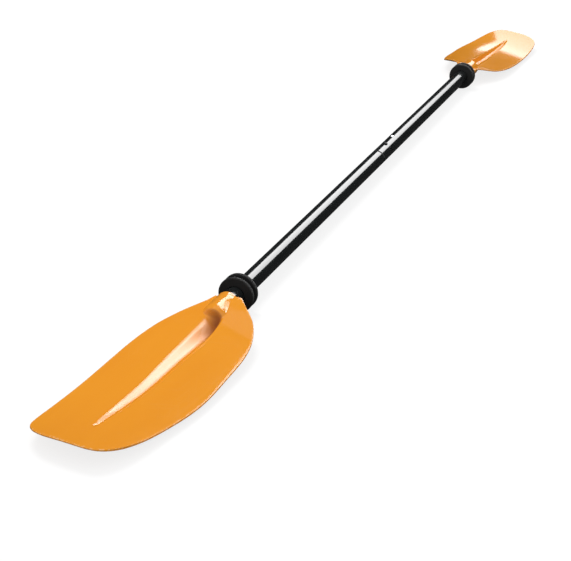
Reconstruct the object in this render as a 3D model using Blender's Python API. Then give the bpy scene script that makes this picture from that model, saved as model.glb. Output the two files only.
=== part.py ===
"""Two-bladed take-apart kayak paddle: moulded blades on a two-piece alloy shaft.

Metres, +Z up. +X runs along the shaft from the near blade to the far blade. The paddle lies on its
drip rings at z = 0 with both power faces up, and the origin is below the middle of its length.
"""

import math

import bmesh
import bpy
import numpy as np
from mathutils import Quaternion, Vector

# Driving dimensions of the whole paddle
PADDLE_LENGTH = 2.200
SEAM_OFFSET = 0.019  # the seam lies this far past the middle, towards the far blade
FIT_GAP = 0.0003  # between mating faces
CUT_MARGIN = 0.004  # how far a cutter runs past what it cuts

# Shaft tubes
SHAFT_OD = 0.029
SHAFT_WALL = 0.0014

# Blade outline, from the socket's mouth to the tip
BLADE_LENGTH = 0.432
BLADE_WIDTH = 0.160
# Shares of the blade length, and of the blade width, at points on the long edge and the round edge
LONG_EDGE_SHARES = ((0.045, 0.138), (0.094, 0.206), (0.171, 0.324), (0.317, 0.436), (0.483, 0.480),
                    (0.658, 0.501), (0.821, 0.513), (0.905, 0.506))
LONG_CORNER_SHARES = (0.957, 0.470)
TIP_EDGE_SHARES = ((0.979, -0.409), (0.992, -0.132), (0.978, 0.119))
ROUND_CORNER_SHARES = (0.909, 0.254)
ROUND_EDGE_SHARES = ((0.741, 0.383), (0.562, 0.469), (0.385, 0.487), (0.231, 0.479), (0.102, 0.354),
                     (0.057, 0.236))
TIP_POWER = 8  # how closely the bow of the tip edge keeps to the tip

# Blade section
BLADE_THICKNESS = 0.003
BLADE_DROP = 0.0136  # sag of the power face below the shaft axis
TIP_LIFT = 0.0024
DIHEDRAL = 0.0053  # fall from the spine to the edges
ROOT_RISE = 0.0166  # of the power face above the shaft axis, beside the socket on the round side
ROOT_RISE_LONG = 0.0083  # the same on the long side
ROOT_RAMP = 0.008  # from the mouth to the full rise
ROOT_LENGTH = 0.088  # from the mouth to where the rise is gone
SOCKET_WALL = 0.003
SOCKET_DEPTH = 0.046
SOCKET_END_WALL = 0.008  # solid end of the socket past its bore
SOCKET_FILLET_RADIUS = 0.006
NOSE_LENGTH = 0.010  # over which the end of the socket drops into the channel
NOSE_TAPER = 0.0045  # the socket's radius is this much smaller at its nose
KEEL_LENGTH = 0.050  # over which the underside of the socket fairs into the ridge
CHANNEL_DEPTH = 0.0135
CHANNEL_LONG_WALL = 0.021  # from the floor to the lip on the side of the long edge
CHANNEL_ROUND_WALL = 0.009
CHANNEL_OFFSET = 0.004  # of the floor from the middle of the blade, towards the round edge
CHANNEL_END = 0.372  # from the mouth
CHANNEL_NECK = 0.5  # share of its width that the round wall has at the nose
CHANNEL_OPENING = 0.070  # length over which it widens
FLOOR_ROUND = 0.3  # share of the wall that the round floor takes
LIP_ROUND = 0.3  # share of the depth that the rounded lip takes
DEPTH_POWER = 1.2  # how fast the channel gets shallower towards its end
WALL_POWER = 0.6  # how fast it gets narrower
LEAST_TAPER = 0.05  # keeps the walls from closing up at the end

# Drip rings
RING_WALL = 0.0055  # from the shaft to the waist
RING_LIP_HEIGHT = 0.008  # from the waist to the rim
RING_LIP = 0.007
RING_WAIST_WIDTH = 0.008
RING_EDGE = 0.0022
NEAR_RING_GAP = 0.025  # from the ring to the socket's mouth
FAR_RING_GAP = 0.015

# Ferrule between the halves
WASHER_THICKNESS = 0.002
LINER_WALL = 0.0012
LINER_LAND = 0.019  # the liner runs this far past the sleeve, and its rivets are in the middle of that
SLEEVE_WALL = 0.0015
SLEEVE_REACH = 0.085  # into the far tube
SLEEVE_GRIP = 0.110  # length held in the near tube

# Snap button and its spring
BUTTON_POSITION = 0.046  # past the seam
BUTTON_DIAMETER = 0.0070
BUTTON_FLANGE = 0.0022  # the flange stands out this far round the stem
BUTTON_FLANGE_HEIGHT = 0.0012
BUTTON_PROUD = 0.0022
BUTTON_DOME = 0.0012
FEATHER_ANGLES = (0.0, 60.0, -60.0)
SPRING_STRIP = 0.0006
SPRING_WIDTH = 0.006
SPRING_TAIL = 0.006  # past the button
SPRING_LEG = 0.024  # from the button to the bend

# Blind rivets
RIVET_SHANK = 0.004
RIVET_HEAD = 0.0068
RIVET_HEAD_HEIGHT = 0.0013
RIVET_TAIL = 0.0056
RIVET_TAIL_HEIGHT = 0.0016
BLADE_RIVETS = (0.30, 0.75)  # shares of the tube's grip in the socket, from the mouth
SLEEVE_RIVETS = (0.32, 0.73)  # shares of the sleeve's grip, from the seam
LINER_RIVET_ANGLES = (12.0, 192.0)
UNDERSIDE = 180.0

# Plugs
PLUG_LIP = 0.0015
PLUG_LENGTH = 0.012
BUNG_LENGTH = 0.030
BUNG_SPACE = 0.010  # between a bung and the ferrule

# Fineness of the round pieces and of the blade's grid
SHAFT_SEGMENTS = 32
RIVET_SEGMENTS = 12
BUTTON_SEGMENTS = 16
BEND_STEPS = 10
BLADE_COLUMNS = 24
STATIONS_SOCKET = 5
STATIONS_NOSE = 8
STATIONS_FACE = 11
STATIONS_TIP = 5

# Derived sizes
SHAFT_R = SHAFT_OD / 2
SHAFT_BORE_R = SHAFT_R - SHAFT_WALL
RING_WAIST_R = SHAFT_R + RING_WALL
RING_R = RING_WAIST_R + RING_LIP_HEIGHT
RING_WIDTH = RING_WAIST_WIDTH + 2 * RING_LIP
AXIS_HEIGHT = RING_R
SEAM_X = SEAM_OFFSET
MOUTH_X = PADDLE_LENGTH / 2 - BLADE_LENGTH
SOCKET_BORE_R = SHAFT_R + FIT_GAP
SOCKET_R = SOCKET_BORE_R + SOCKET_WALL
TUBE_END = MOUTH_X + SOCKET_DEPTH - PLUG_LIP - 2 * FIT_GAP
TUBE_GRIP = TUBE_END - PLUG_LENGTH - MOUTH_X
LINER_R = SHAFT_BORE_R - FIT_GAP
LINER_BORE_R = LINER_R - LINER_WALL
SLEEVE_R = LINER_BORE_R - FIT_GAP
SLEEVE_BORE_R = SLEEVE_R - SLEEVE_WALL
SEAM_HALF = WASHER_THICKNESS / 2 + FIT_GAP
LINER_LENGTH = SLEEVE_REACH + LINER_LAND
RIVET_HOLE = RIVET_SHANK + 2 * FIT_GAP
BUTTON_R = BUTTON_DIAMETER / 2
FLANGE_R = BUTTON_R + BUTTON_FLANGE
FLANGE_TOP = math.sqrt(SLEEVE_BORE_R**2 - FLANGE_R**2) - FIT_GAP
FLANGE_BASE = FLANGE_TOP - BUTTON_FLANGE_HEIGHT


def clear_scene():
    for obj in list(bpy.data.objects):
        bpy.data.objects.remove(obj, do_unlink=True)


def material(name, colour, roughness, metallic=0.0):
    made = bpy.data.materials.new(name)
    made.use_nodes = True
    shader = made.node_tree.nodes["Principled BSDF"]
    shader.inputs["Base Color"].default_value = (*colour, 1.0)
    shader.inputs["Roughness"].default_value = roughness
    shader.inputs["Metallic"].default_value = metallic
    return made


def frame_point(name, x):
    """An empty on the shaft axis that carries one half of the paddle."""
    empty = bpy.data.objects.new(name, None)
    empty.location = (x, 0.0, AXIS_HEIGHT)
    bpy.context.collection.objects.link(empty)
    return empty


def add_object(name, shape, finish):
    """Turn a bmesh into a named object with outward faces and smooth round walls."""
    bmesh.ops.recalc_face_normals(shape, faces=shape.faces)
    mesh = bpy.data.meshes.new(name)
    shape.to_mesh(mesh)
    shape.free()
    mesh.shade_smooth()
    mesh.set_sharp_from_angle(angle=math.radians(35))
    mesh.materials.append(finish)
    obj = bpy.data.objects.new(name, mesh)
    bpy.context.collection.objects.link(obj)
    return obj


def turned(name, profile, finish, segments=SHAFT_SEGMENTS):
    """Spin a closed profile of (distance along X, radius) about the X axis."""
    shape = bmesh.new()
    corners = [shape.verts.new((x, 0.0, radius)) for x, radius in profile]
    edges = [shape.edges.new(pair) for pair in zip(corners, corners[1:] + corners[:1])]
    bmesh.ops.spin(shape, geom=corners + edges, cent=(0, 0, 0), axis=(1, 0, 0), angle=math.tau,
                   steps=segments, use_merge=True)
    bmesh.ops.remove_doubles(shape, verts=shape.verts, dist=1e-6)
    bmesh.ops.dissolve_degenerate(shape, edges=shape.edges, dist=1e-6)
    return add_object(name, shape, finish)


def hollow_profile(start, end, bore, radius):
    return ((start, bore), (end, bore), (end, radius), (start, radius))


def solid_profile(start, end, radius):
    return hollow_profile(start, end, 0.0, radius)


def attach(obj, parent, x, direction=(1, 0, 0)):
    """Put a piece on the shaft axis at x, with its local X along the direction, and parent it."""
    obj.rotation_mode = "QUATERNION"
    obj.rotation_quaternion = Vector((1, 0, 0)).rotation_difference(Vector(direction))
    obj.parent = parent
    obj.location = Vector((x, 0.0, AXIS_HEIGHT)) - parent.location
    return obj


def radial(angle):
    """The direction out of the shaft at an angle from the top, towards +Y."""
    turn = math.radians(angle)
    return (0.0, math.sin(turn), math.cos(turn))


def drill(target, x, angle, diameter, start, end, parent):
    """Cut a radial hole between two distances from the shaft axis."""
    cutter = turned(f"{target.name}_cutter", solid_profile(start, end, diameter / 2),
                    target.data.materials[0], BUTTON_SEGMENTS)
    attach(cutter, parent, x, radial(angle))
    subtract(target, cutter)


def subtract(target, cutter):
    cutter.hide_render = True
    cutter.display_type = "WIRE"
    cut = target.modifiers.new("hole", "BOOLEAN")
    cut.operation = "DIFFERENCE"
    cut.solver = "EXACT"
    cut.object = cutter


def rivet(name, parent, x, angle, outer, inner, finish):
    """A blind rivet whose head lies on the outer radius and whose tail is below the inner radius."""
    head = outer + FIT_GAP
    tail = math.sqrt(inner**2 - (RIVET_TAIL / 2) ** 2) - FIT_GAP
    shank = RIVET_SHANK / 2
    bulge = RIVET_TAIL / 2
    dome = RIVET_HEAD / 2
    profile = ((tail - RIVET_TAIL_HEIGHT, 0.0), (tail - RIVET_TAIL_HEIGHT, 0.7 * bulge),
               (tail - RIVET_TAIL_HEIGHT / 2, bulge), (tail, bulge), (tail, shank), (head, shank),
               (head, dome), (head + 0.5 * RIVET_HEAD_HEIGHT, 0.86 * dome),
               (head + 0.87 * RIVET_HEAD_HEIGHT, 0.5 * dome), (head + RIVET_HEAD_HEIGHT, 0.0))
    return attach(turned(name, profile, finish, RIVET_SEGMENTS), parent, x, radial(angle))


def smoothstep(start, end, x):
    share = np.clip((x - start) / (end - start), 0.0, 1.0)
    return share * share * (3.0 - 2.0 * share)


def smooth_max(a, b, blend):
    """The larger of two heights, with a fillet of about the blend size where they meet."""
    blend = np.maximum(blend, 1e-9)
    share = np.clip(0.5 + 0.5 * (a - b) / blend, 0.0, 1.0)
    return b + (a - b) * share + blend * share * (1.0 - share)


def trough(share):
    """Depth of the channel across its wall, from 1 at the round floor to 0 at the rounded lip."""
    fall = (np.sqrt(share**2 + FLOOR_ROUND**2) - FLOOR_ROUND) / (math.sqrt(1 + FLOOR_ROUND**2) - FLOOR_ROUND)
    return smooth_max(1.0 - fall, 0.0, LIP_ROUND)


def curve_through(points):
    """A natural cubic spline through points, as a function of the share of its chord length."""
    points = np.array(points, float)
    knots = np.concatenate([[0.0], np.cumsum(np.linalg.norm(np.diff(points, axis=0), axis=1))])
    step = np.diff(knots)
    system = np.eye(len(points))
    target = np.zeros_like(points)
    for i in range(1, len(points) - 1):
        system[i, i - 1:i + 2] = step[i - 1], 2 * (step[i - 1] + step[i]), step[i]
        target[i] = 6 * ((points[i + 1] - points[i]) / step[i] - (points[i] - points[i - 1]) / step[i - 1])
    bend = np.linalg.solve(system, target)

    def at(distance):
        i = np.clip(np.searchsorted(knots, distance, side="right") - 1, 0, len(step) - 1)
        left = ((distance - knots[i]) / step[i])[..., None]
        right = 1.0 - left
        span = step[i][..., None]
        return (right * points[i] + left * points[i + 1]
                + span**2 / 6 * ((right**3 - right) * bend[i] + (left**3 - left) * bend[i + 1]))

    return at, knots


def blade_plan(stations, columns):
    """Plan places of the blade's grid: X from the mouth, Y across, and the distance to the outline."""

    def sized(shares, side):
        return [(x * BLADE_LENGTH, side * y * BLADE_WIDTH) for x, y in shares]

    long_side = [(0.0, -SOCKET_R)] + sized(LONG_EDGE_SHARES + (LONG_CORNER_SHARES,), -1)
    round_side = sized((ROUND_CORNER_SHARES,) + ROUND_EDGE_SHARES, 1) + [(0.0, SOCKET_R)]
    tip = sized(TIP_EDGE_SHARES, 1)
    outline, knots = curve_through(long_side + tip + round_side)
    long_end = knots[len(long_side) - 1]
    round_start = knots[len(long_side) + len(tip)]

    even = np.linspace(0.0, 1.0, columns + 1)
    on_circle = (1.0 - np.cos(np.pi * even)) / 2
    clustered = even - 0.72 * np.sin(4 * np.pi * even) / (4 * np.pi)

    def grid(share):
        along = share[:, None]
        across = on_circle + (clustered - on_circle) * smoothstep(0.0, 0.2, along)
        low = outline(long_end * share)[:, None, :]
        high = outline(knots[-1] - (knots[-1] - round_start) * share)[:, None, :]
        place = low + (high - low) * across[..., None]
        straight = low[-1:] + (high[-1:] - low[-1:]) * across[..., None]
        bow = outline(long_end + (round_start - long_end) * across) - straight
        place = place + along[..., None] ** TIP_POWER * bow
        width = np.linalg.norm(high - low, axis=2)
        side = np.minimum(across, 1.0 - across) * width
        return place[..., 0], place[..., 1], np.minimum(side, (1.0 - along) * BLADE_LENGTH)

    dense = np.linspace(0.0, 1.0, 400)
    spine = grid(dense)[0][:, columns // 2]
    return grid(np.interp(stations, spine, dense))


def blade_heights(x, y, edge):
    """Top and bottom heights of the blade over its grid, from the shaft axis."""
    along = np.clip(x / BLADE_LENGTH, 0.0, 1.0)
    spine = y[:, len(y[0]) // 2][:, None]
    # The polynomial is scaled so that the power face sags by BLADE_DROP two thirds of the way out
    face = -BLADE_DROP * 6.75 * along**2 * (1.0 - along) + TIP_LIFT * along**3
    face = face - DIHEDRAL * (y / (BLADE_WIDTH / 2)) ** 2 * smoothstep(0.0, 0.3, along)
    rise = ROOT_RISE_LONG + (ROOT_RISE - ROOT_RISE_LONG) * smoothstep(-SOCKET_R, SOCKET_R, y)
    face = face + rise * smoothstep(0.0, ROOT_RAMP, x) * (1.0 - smoothstep(ROOT_RAMP, ROOT_LENGTH, x))
    rim = np.clip(edge / (BLADE_THICKNESS / 2), 0.0, 1.0)
    half = BLADE_THICKNESS / 2 * np.sqrt(1.0 - (1.0 - rim) ** 2)

    nose = SOCKET_DEPTH + SOCKET_END_WALL
    sunk = -(BLADE_DROP + DIHEDRAL + 2 * SOCKET_FILLET_RADIUS)

    def barrel(radius, drop_start, drop_end):
        """Half height of the round socket, which falls away at its sides and past its end."""
        height = np.sqrt(np.clip(radius**2 - y**2, 0.0, None)) - 2 * np.clip(np.abs(y) - radius, 0.0, None)
        return height + (sunk - height) * smoothstep(drop_start, drop_end, x)

    narrowed = SOCKET_R - NOSE_TAPER * smoothstep(SOCKET_DEPTH, nose + NOSE_LENGTH / 2, x)
    upper_barrel = barrel(narrowed, nose, nose + NOSE_LENGTH)
    lower_barrel = barrel(SOCKET_R, SOCKET_DEPTH + SOCKET_WALL, SOCKET_DEPTH + KEEL_LENGTH)
    blend = SOCKET_FILLET_RADIUS * np.clip(edge / SOCKET_R, 0.0, 1.0)

    begin = nose + NOSE_LENGTH / 2
    taper = np.clip((CHANNEL_END - x) / (CHANNEL_END - begin), 0.0, 1.0)
    depth = CHANNEL_DEPTH * smoothstep(nose, nose + NOSE_LENGTH, x) * taper**DEPTH_POWER
    from_floor = y - spine - CHANNEL_OFFSET * taper
    opening = CHANNEL_NECK + (1.0 - CHANNEL_NECK) * smoothstep(begin, begin + CHANNEL_OPENING, x)
    wall = np.where(from_floor < 0.0, CHANNEL_LONG_WALL, CHANNEL_ROUND_WALL * opening)
    wall = wall * np.clip(taper, LEAST_TAPER, 1.0) ** WALL_POWER
    hollow = depth * trough(from_floor / wall)
    ridge = depth * trough(from_floor / (wall + BLADE_THICKNESS))

    top = smooth_max(face + half, upper_barrel, blend) - hollow
    bottom = -smooth_max(-(face - half) + ridge, lower_barrel, blend)
    return top, bottom


def blade(name, finish):
    """A moulded blade with its socket, local X running from the socket's mouth to the tip."""
    nose_end = SOCKET_DEPTH + SOCKET_END_WALL + NOSE_LENGTH
    tip_zone = 0.93 * BLADE_LENGTH
    stations = np.concatenate([
        np.linspace(0.0, SOCKET_DEPTH, STATIONS_SOCKET, endpoint=False),
        np.linspace(SOCKET_DEPTH, nose_end, STATIONS_NOSE, endpoint=False),
        np.linspace(nose_end, tip_zone, STATIONS_FACE, endpoint=False),
        np.linspace(tip_zone, BLADE_LENGTH - BLADE_THICKNESS, STATIONS_TIP),
        [BLADE_LENGTH],
    ])
    x, y, edge = blade_plan(stations, BLADE_COLUMNS)
    top, bottom = blade_heights(x, y, edge)
    shape = bmesh.new()
    last_row, last_column = len(stations) - 1, BLADE_COLUMNS

    def on_rim(i, j):
        return i == last_row or j in (0, last_column)

    def corner(i, j, height):
        return shape.verts.new((x[i, j], y[i, j], height))

    upper = [[corner(i, j, (top[i, j] + bottom[i, j]) / 2 if on_rim(i, j) else top[i, j])
              for j in range(last_column + 1)] for i in range(last_row + 1)]
    lower = [[upper[i][j] if on_rim(i, j) else corner(i, j, bottom[i, j])
              for j in range(last_column + 1)] for i in range(last_row + 1)]
    for i in range(last_row):
        for j in range(last_column):
            for sheet in (upper, lower):
                shape.faces.new((sheet[i][j], sheet[i + 1][j], sheet[i + 1][j + 1], sheet[i][j + 1]))
    shape.faces.new(upper[0] + lower[0][-2:0:-1])
    bmesh.ops.triangulate(shape, faces=shape.faces)
    return add_object(name, shape, finish)


def build_blade(side, half, outward, finish, rivet_finish):
    """A blade on one end of the shaft, bored for the tube and held to it by two rivets."""
    mouth = outward * MOUTH_X
    direction = (outward, 0, 0)
    made = blade(f"{side}_blade", finish)
    attach(made, half, mouth)
    made.rotation_quaternion = (1, 0, 0, 0) if outward > 0 else (0, 0, 0, 1)
    bore = turned(f"{side}_blade_bore", solid_profile(-CUT_MARGIN, SOCKET_DEPTH, SOCKET_BORE_R), finish)
    attach(bore, half, mouth, direction)
    # Half a segment of turn keeps the bore's edges off the middle plane, where the rivet holes cross it
    bore.rotation_quaternion @= Quaternion((1, 0, 0), math.pi / SHAFT_SEGMENTS)
    subtract(made, bore)
    for letter, share in zip("ab", BLADE_RIVETS):
        x = outward * (MOUTH_X + share * TUBE_GRIP)
        drill(made, x, UNDERSIDE, RIVET_HOLE, SOCKET_R / 2, SOCKET_R + CUT_MARGIN, half)
        rivet(f"{side}_blade_rivet_{letter}", half, x, UNDERSIDE, SOCKET_R, SHAFT_BORE_R, rivet_finish)
    return made


def build_tube(side, half, outward, finish):
    """A shaft tube from the seam to the bottom of the blade's socket, drilled for the blade's rivets."""
    near_seam = outward * SEAM_X + SEAM_HALF
    made = turned(f"{side}_shaft_tube", hollow_profile(near_seam, TUBE_END, SHAFT_BORE_R, SHAFT_R), finish)
    attach(made, half, 0.0, (outward, 0, 0))
    for share in BLADE_RIVETS:
        x = outward * (MOUTH_X + share * TUBE_GRIP)
        drill(made, x, UNDERSIDE, RIVET_HOLE, SHAFT_R / 2, SHAFT_R + CUT_MARGIN, half)
    return made


def build_plugs(side, half, outward, ferrule_end, plug_finish, foam_finish):
    """The lipped plug in the tube's blade end and the foam bung behind the ferrule."""
    body = SHAFT_BORE_R - FIT_GAP
    seat = TUBE_END + FIT_GAP
    inner = TUBE_END - PLUG_LENGTH
    lip = seat + PLUG_LIP
    plug = turned(f"{side}_end_plug", ((inner, 0.0), (inner, body), (seat, body), (seat, SHAFT_R),
                                       (lip, SHAFT_R), (lip, 0.0)), plug_finish)
    attach(plug, half, 0.0, (outward, 0, 0))
    start = ferrule_end + BUNG_SPACE
    bung = turned(f"{side}_float_bung", solid_profile(start, start + BUNG_LENGTH, body), foam_finish)
    attach(bung, half, 0.0, (outward, 0, 0))


def drip_ring(name, parent, x, finish):
    """A rubber ring with two rounded lips and a waist between them."""
    bore = SHAFT_R + FIT_GAP
    end = RING_WIDTH / 2
    lip = end - RING_LIP
    steps = [math.radians(angle) for angle in (90, 45, 0)]
    centre = RING_R - RING_EDGE
    outer_round = [(end + RING_EDGE * (math.cos(a) - 1), centre + RING_EDGE * math.sin(a)) for a in steps]
    inner_round = [(lip - RING_EDGE * (math.cos(a) - 1), centre + RING_EDGE * math.sin(a)) for a in steps]
    # From the waist over the lip to the bore, on the +X half
    half = [(0.0, RING_WAIST_R), (lip - RING_EDGE, RING_WAIST_R), (lip, RING_WAIST_R + RING_EDGE)]
    half += inner_round[::-1] + outer_round + [(end, bore)]
    profile = half + [(-px, radius) for px, radius in half[:0:-1]]
    return attach(turned(name, profile, finish), parent, x)


def leaf_spring(name, parent, x, finish):
    """A U-shaped leaf inside the sleeve: one leg under the button, the other on the sleeve's wall."""
    half_strip = SPRING_STRIP / 2
    upper = FLANGE_BASE - FIT_GAP - half_strip
    lower = -math.sqrt(SLEEVE_BORE_R**2 - (SPRING_WIDTH / 2) ** 2) + FIT_GAP + half_strip
    bend = (upper - lower) / 2
    middle = (upper + lower) / 2
    tail = BUTTON_DIAMETER / 2 + SPRING_TAIL

    def side(offset):
        radius = bend + offset
        turns = [math.pi * (0.5 + i / BEND_STEPS) for i in range(BEND_STEPS + 1)]
        arc = [(radius * math.cos(a) - SPRING_LEG, radius * math.sin(a) + middle) for a in turns]
        return [(tail, upper + offset)] + arc + [(tail, lower - offset)]

    outline = side(half_strip) + side(-half_strip)[::-1]
    shape = bmesh.new()
    face = shape.faces.new([shape.verts.new((px, -SPRING_WIDTH / 2, pz)) for px, pz in outline])
    pushed = bmesh.ops.extrude_face_region(shape, geom=[face])["geom"]
    moved = [item for item in pushed if isinstance(item, bmesh.types.BMVert)]
    bmesh.ops.translate(shape, verts=moved, vec=(0.0, SPRING_WIDTH, 0.0))
    return attach(add_object(name, shape, finish), parent, x)


def build_ferrule(near_half, far_half, near_tube, far_tube, finishes):
    """The sleeve, liner, washer, snap button, spring and rivets that join the two tubes."""
    before = SEAM_X - SEAM_HALF
    after = SEAM_X + SEAM_HALF
    fixed_r = SHAFT_BORE_R - FIT_GAP
    start, end = before - SLEEVE_GRIP, after + SLEEVE_REACH
    stepped = ((start, SLEEVE_BORE_R), (end, SLEEVE_BORE_R), (end, SLEEVE_R), (before, SLEEVE_R),
               (before, fixed_r), (start, fixed_r))
    sleeve = turned("ferrule_sleeve", stepped, finishes["sleeve"])
    attach(sleeve, near_half, 0.0)
    liner = turned("ferrule_liner", hollow_profile(after, after + LINER_LENGTH, LINER_BORE_R, LINER_R),
                   finishes["liner"])
    attach(liner, far_half, 0.0)
    washer_end = WASHER_THICKNESS / 2
    washer = turned("seam_washer", hollow_profile(-washer_end, washer_end, SLEEVE_R + FIT_GAP, SHAFT_R),
                    finishes["rubber"])
    attach(washer, near_half, SEAM_X)

    button_x = SEAM_X + BUTTON_POSITION
    hole = BUTTON_DIAMETER + 2 * FIT_GAP
    inside = SHAFT_R / 2
    outside = SHAFT_R + CUT_MARGIN
    for angle in FEATHER_ANGLES:
        for pierced in (liner, far_tube):
            drill(pierced, button_x, angle, hole, inside, outside, far_half)
    drill(sleeve, button_x, 0.0, hole, SLEEVE_R / 2, SHAFT_R, near_half)
    top = SHAFT_R + BUTTON_PROUD
    flanged = ((FLANGE_BASE, 0.0), (FLANGE_BASE, FLANGE_R), (FLANGE_TOP, FLANGE_R), (FLANGE_TOP, BUTTON_R),
               (top - BUTTON_DOME, BUTTON_R), (top - 0.4 * BUTTON_DOME, 0.8 * BUTTON_R),
               (top, 0.35 * BUTTON_R), (top, 0.0))
    button = turned("snap_button", flanged, finishes["steel"], BUTTON_SEGMENTS)
    attach(button, near_half, button_x, radial(0.0))
    leaf_spring("snap_spring", near_half, button_x, finishes["spring"])

    for letter, share in zip("ab", SLEEVE_RIVETS):
        x = SEAM_X - share * SLEEVE_GRIP
        for pierced in (near_tube, sleeve):
            drill(pierced, x, UNDERSIDE, RIVET_HOLE, inside, outside, near_half)
        rivet(f"ferrule_rivet_{letter}", near_half, x, UNDERSIDE, SHAFT_R, SLEEVE_BORE_R, finishes["rivet"])
    for letter, angle in zip("ab", LINER_RIVET_ANGLES):
        x = after + SLEEVE_REACH + LINER_LAND / 2
        for pierced in (far_tube, liner):
            drill(pierced, x, angle, RIVET_HOLE, inside, outside, far_half)
        rivet(f"liner_rivet_{letter}", far_half, x, angle, SHAFT_R, LINER_BORE_R, finishes["rivet"])


def main():
    clear_scene()
    finishes = {
        "blade": material("orange_moulding", (0.90, 0.36, 0.032), 0.22),
        "shaft": material("black_shaft", (0.012, 0.014, 0.014), 0.2, 0.3),
        "rubber": material("black_rubber", (0.006, 0.006, 0.006), 0.7),
        "sleeve": material("glass_fibre_sleeve", (0.03, 0.03, 0.032), 0.45),
        "liner": material("nylon_liner", (0.05, 0.05, 0.05), 0.5),
        "steel": material("button_steel", (0.35, 0.35, 0.36), 0.3, 1.0),
        "spring": material("spring_steel", (0.45, 0.46, 0.48), 0.3, 1.0),
        "rivet": material("rivet_alloy", (0.70, 0.71, 0.72), 0.35, 1.0),
        "plug": material("plug_plastic", (0.03, 0.03, 0.03), 0.6),
        "foam": material("closed_cell_foam", (0.55, 0.55, 0.52), 0.9),
    }
    halves = {"near": (frame_point("near_half", SEAM_X), -1.0), "far": (frame_point("far_half", SEAM_X), 1.0)}
    ferrule_ends = {"near": SLEEVE_GRIP + SEAM_HALF - SEAM_X, "far": SEAM_X + SEAM_HALF + LINER_LENGTH}
    ring_gaps = {"near": NEAR_RING_GAP, "far": FAR_RING_GAP}
    tubes = {}
    for side, (half, outward) in halves.items():
        build_blade(side, half, outward, finishes["blade"], finishes["rivet"])
        tubes[side] = build_tube(side, half, outward, finishes["shaft"])
        build_plugs(side, half, outward, ferrule_ends[side], finishes["plug"], finishes["foam"])
        ring_x = outward * (MOUTH_X - ring_gaps[side] - RING_WIDTH / 2)
        drip_ring(f"{side}_drip_ring", half, ring_x, finishes["rubber"])
    build_ferrule(halves["near"][0], halves["far"][0], tubes["near"], tubes["far"], finishes)


main()
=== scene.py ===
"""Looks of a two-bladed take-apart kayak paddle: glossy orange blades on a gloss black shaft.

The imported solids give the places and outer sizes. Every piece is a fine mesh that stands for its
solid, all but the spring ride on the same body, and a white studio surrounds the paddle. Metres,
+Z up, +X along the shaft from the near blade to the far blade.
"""

import logging
import math
from dataclasses import dataclass
from enum import Enum
from typing import Any, Callable, Sequence, Union

import bmesh
import bpy
import numpy as np
from mathutils import Matrix, Vector


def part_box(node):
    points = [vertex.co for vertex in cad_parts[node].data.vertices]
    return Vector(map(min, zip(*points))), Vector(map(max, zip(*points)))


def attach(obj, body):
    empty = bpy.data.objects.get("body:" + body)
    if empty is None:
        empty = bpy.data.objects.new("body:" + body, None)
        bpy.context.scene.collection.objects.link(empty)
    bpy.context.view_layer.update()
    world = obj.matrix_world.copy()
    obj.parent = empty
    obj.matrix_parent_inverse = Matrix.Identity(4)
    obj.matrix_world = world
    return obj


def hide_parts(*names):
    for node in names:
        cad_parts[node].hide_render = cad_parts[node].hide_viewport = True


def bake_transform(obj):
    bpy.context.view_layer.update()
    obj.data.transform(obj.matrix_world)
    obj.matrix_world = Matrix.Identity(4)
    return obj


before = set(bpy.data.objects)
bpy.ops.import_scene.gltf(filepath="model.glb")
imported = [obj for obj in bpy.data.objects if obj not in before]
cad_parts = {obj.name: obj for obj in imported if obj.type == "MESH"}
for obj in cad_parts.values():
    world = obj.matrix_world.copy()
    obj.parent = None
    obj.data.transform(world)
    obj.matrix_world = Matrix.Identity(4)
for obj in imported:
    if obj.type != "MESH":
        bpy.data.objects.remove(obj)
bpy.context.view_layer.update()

log = logging.getLogger("paddle")

SMOOTH_LIMIT = math.radians(35)  # edges sharper than this stay sharp
MERGE_DISTANCE = 1e-7
LEAST_BLEND = 1e-9  # stands for no fillet at all
FIT_GAP = 0.0003  # between mating faces
CUT_MARGIN = 0.004  # how far a cutter runs past what it cuts
UNDERSIDE = 180.0  # degrees from the top of the shaft
PAIR = "ab"  # letters of two like rivets
LARGE_ROUND = 128  # faces around the shaft and what is on it
SMALL_ROUND = 64

Point = tuple[float, float]
Triple = tuple[float, float, float]
Colour = Triple
Corner = Triple  # distance along the axis, radius, fillet
Seat = tuple[str, float]  # a rivet's solid and its angle from the top


class Body(Enum):
    """The bodies that move on their own."""

    NEAR_HALF = "near_half"
    FAR_HALF = "far_half"
    BUTTON = "snap_button"
    WASHER = "seam_washer"
    NEAR_RING = "near_drip_ring"
    FAR_RING = "far_drip_ring"


class Side(Enum):
    """The two ends of the paddle, as seen from the camera."""

    NEAR = "near"
    FAR = "far"

    @property
    def outward(self) -> float:
        """Sign of X from the seam to this end's blade."""
        return 1.0 if self is Side.FAR else -1.0

    @property
    def half(self) -> Body:
        """The body that this end's blade and tube belong to."""
        return Body.FAR_HALF if self is Side.FAR else Body.NEAR_HALF

    @property
    def ring(self) -> Body:
        """The body of this end's drip ring."""
        return Body.FAR_RING if self is Side.FAR else Body.NEAR_RING


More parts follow.
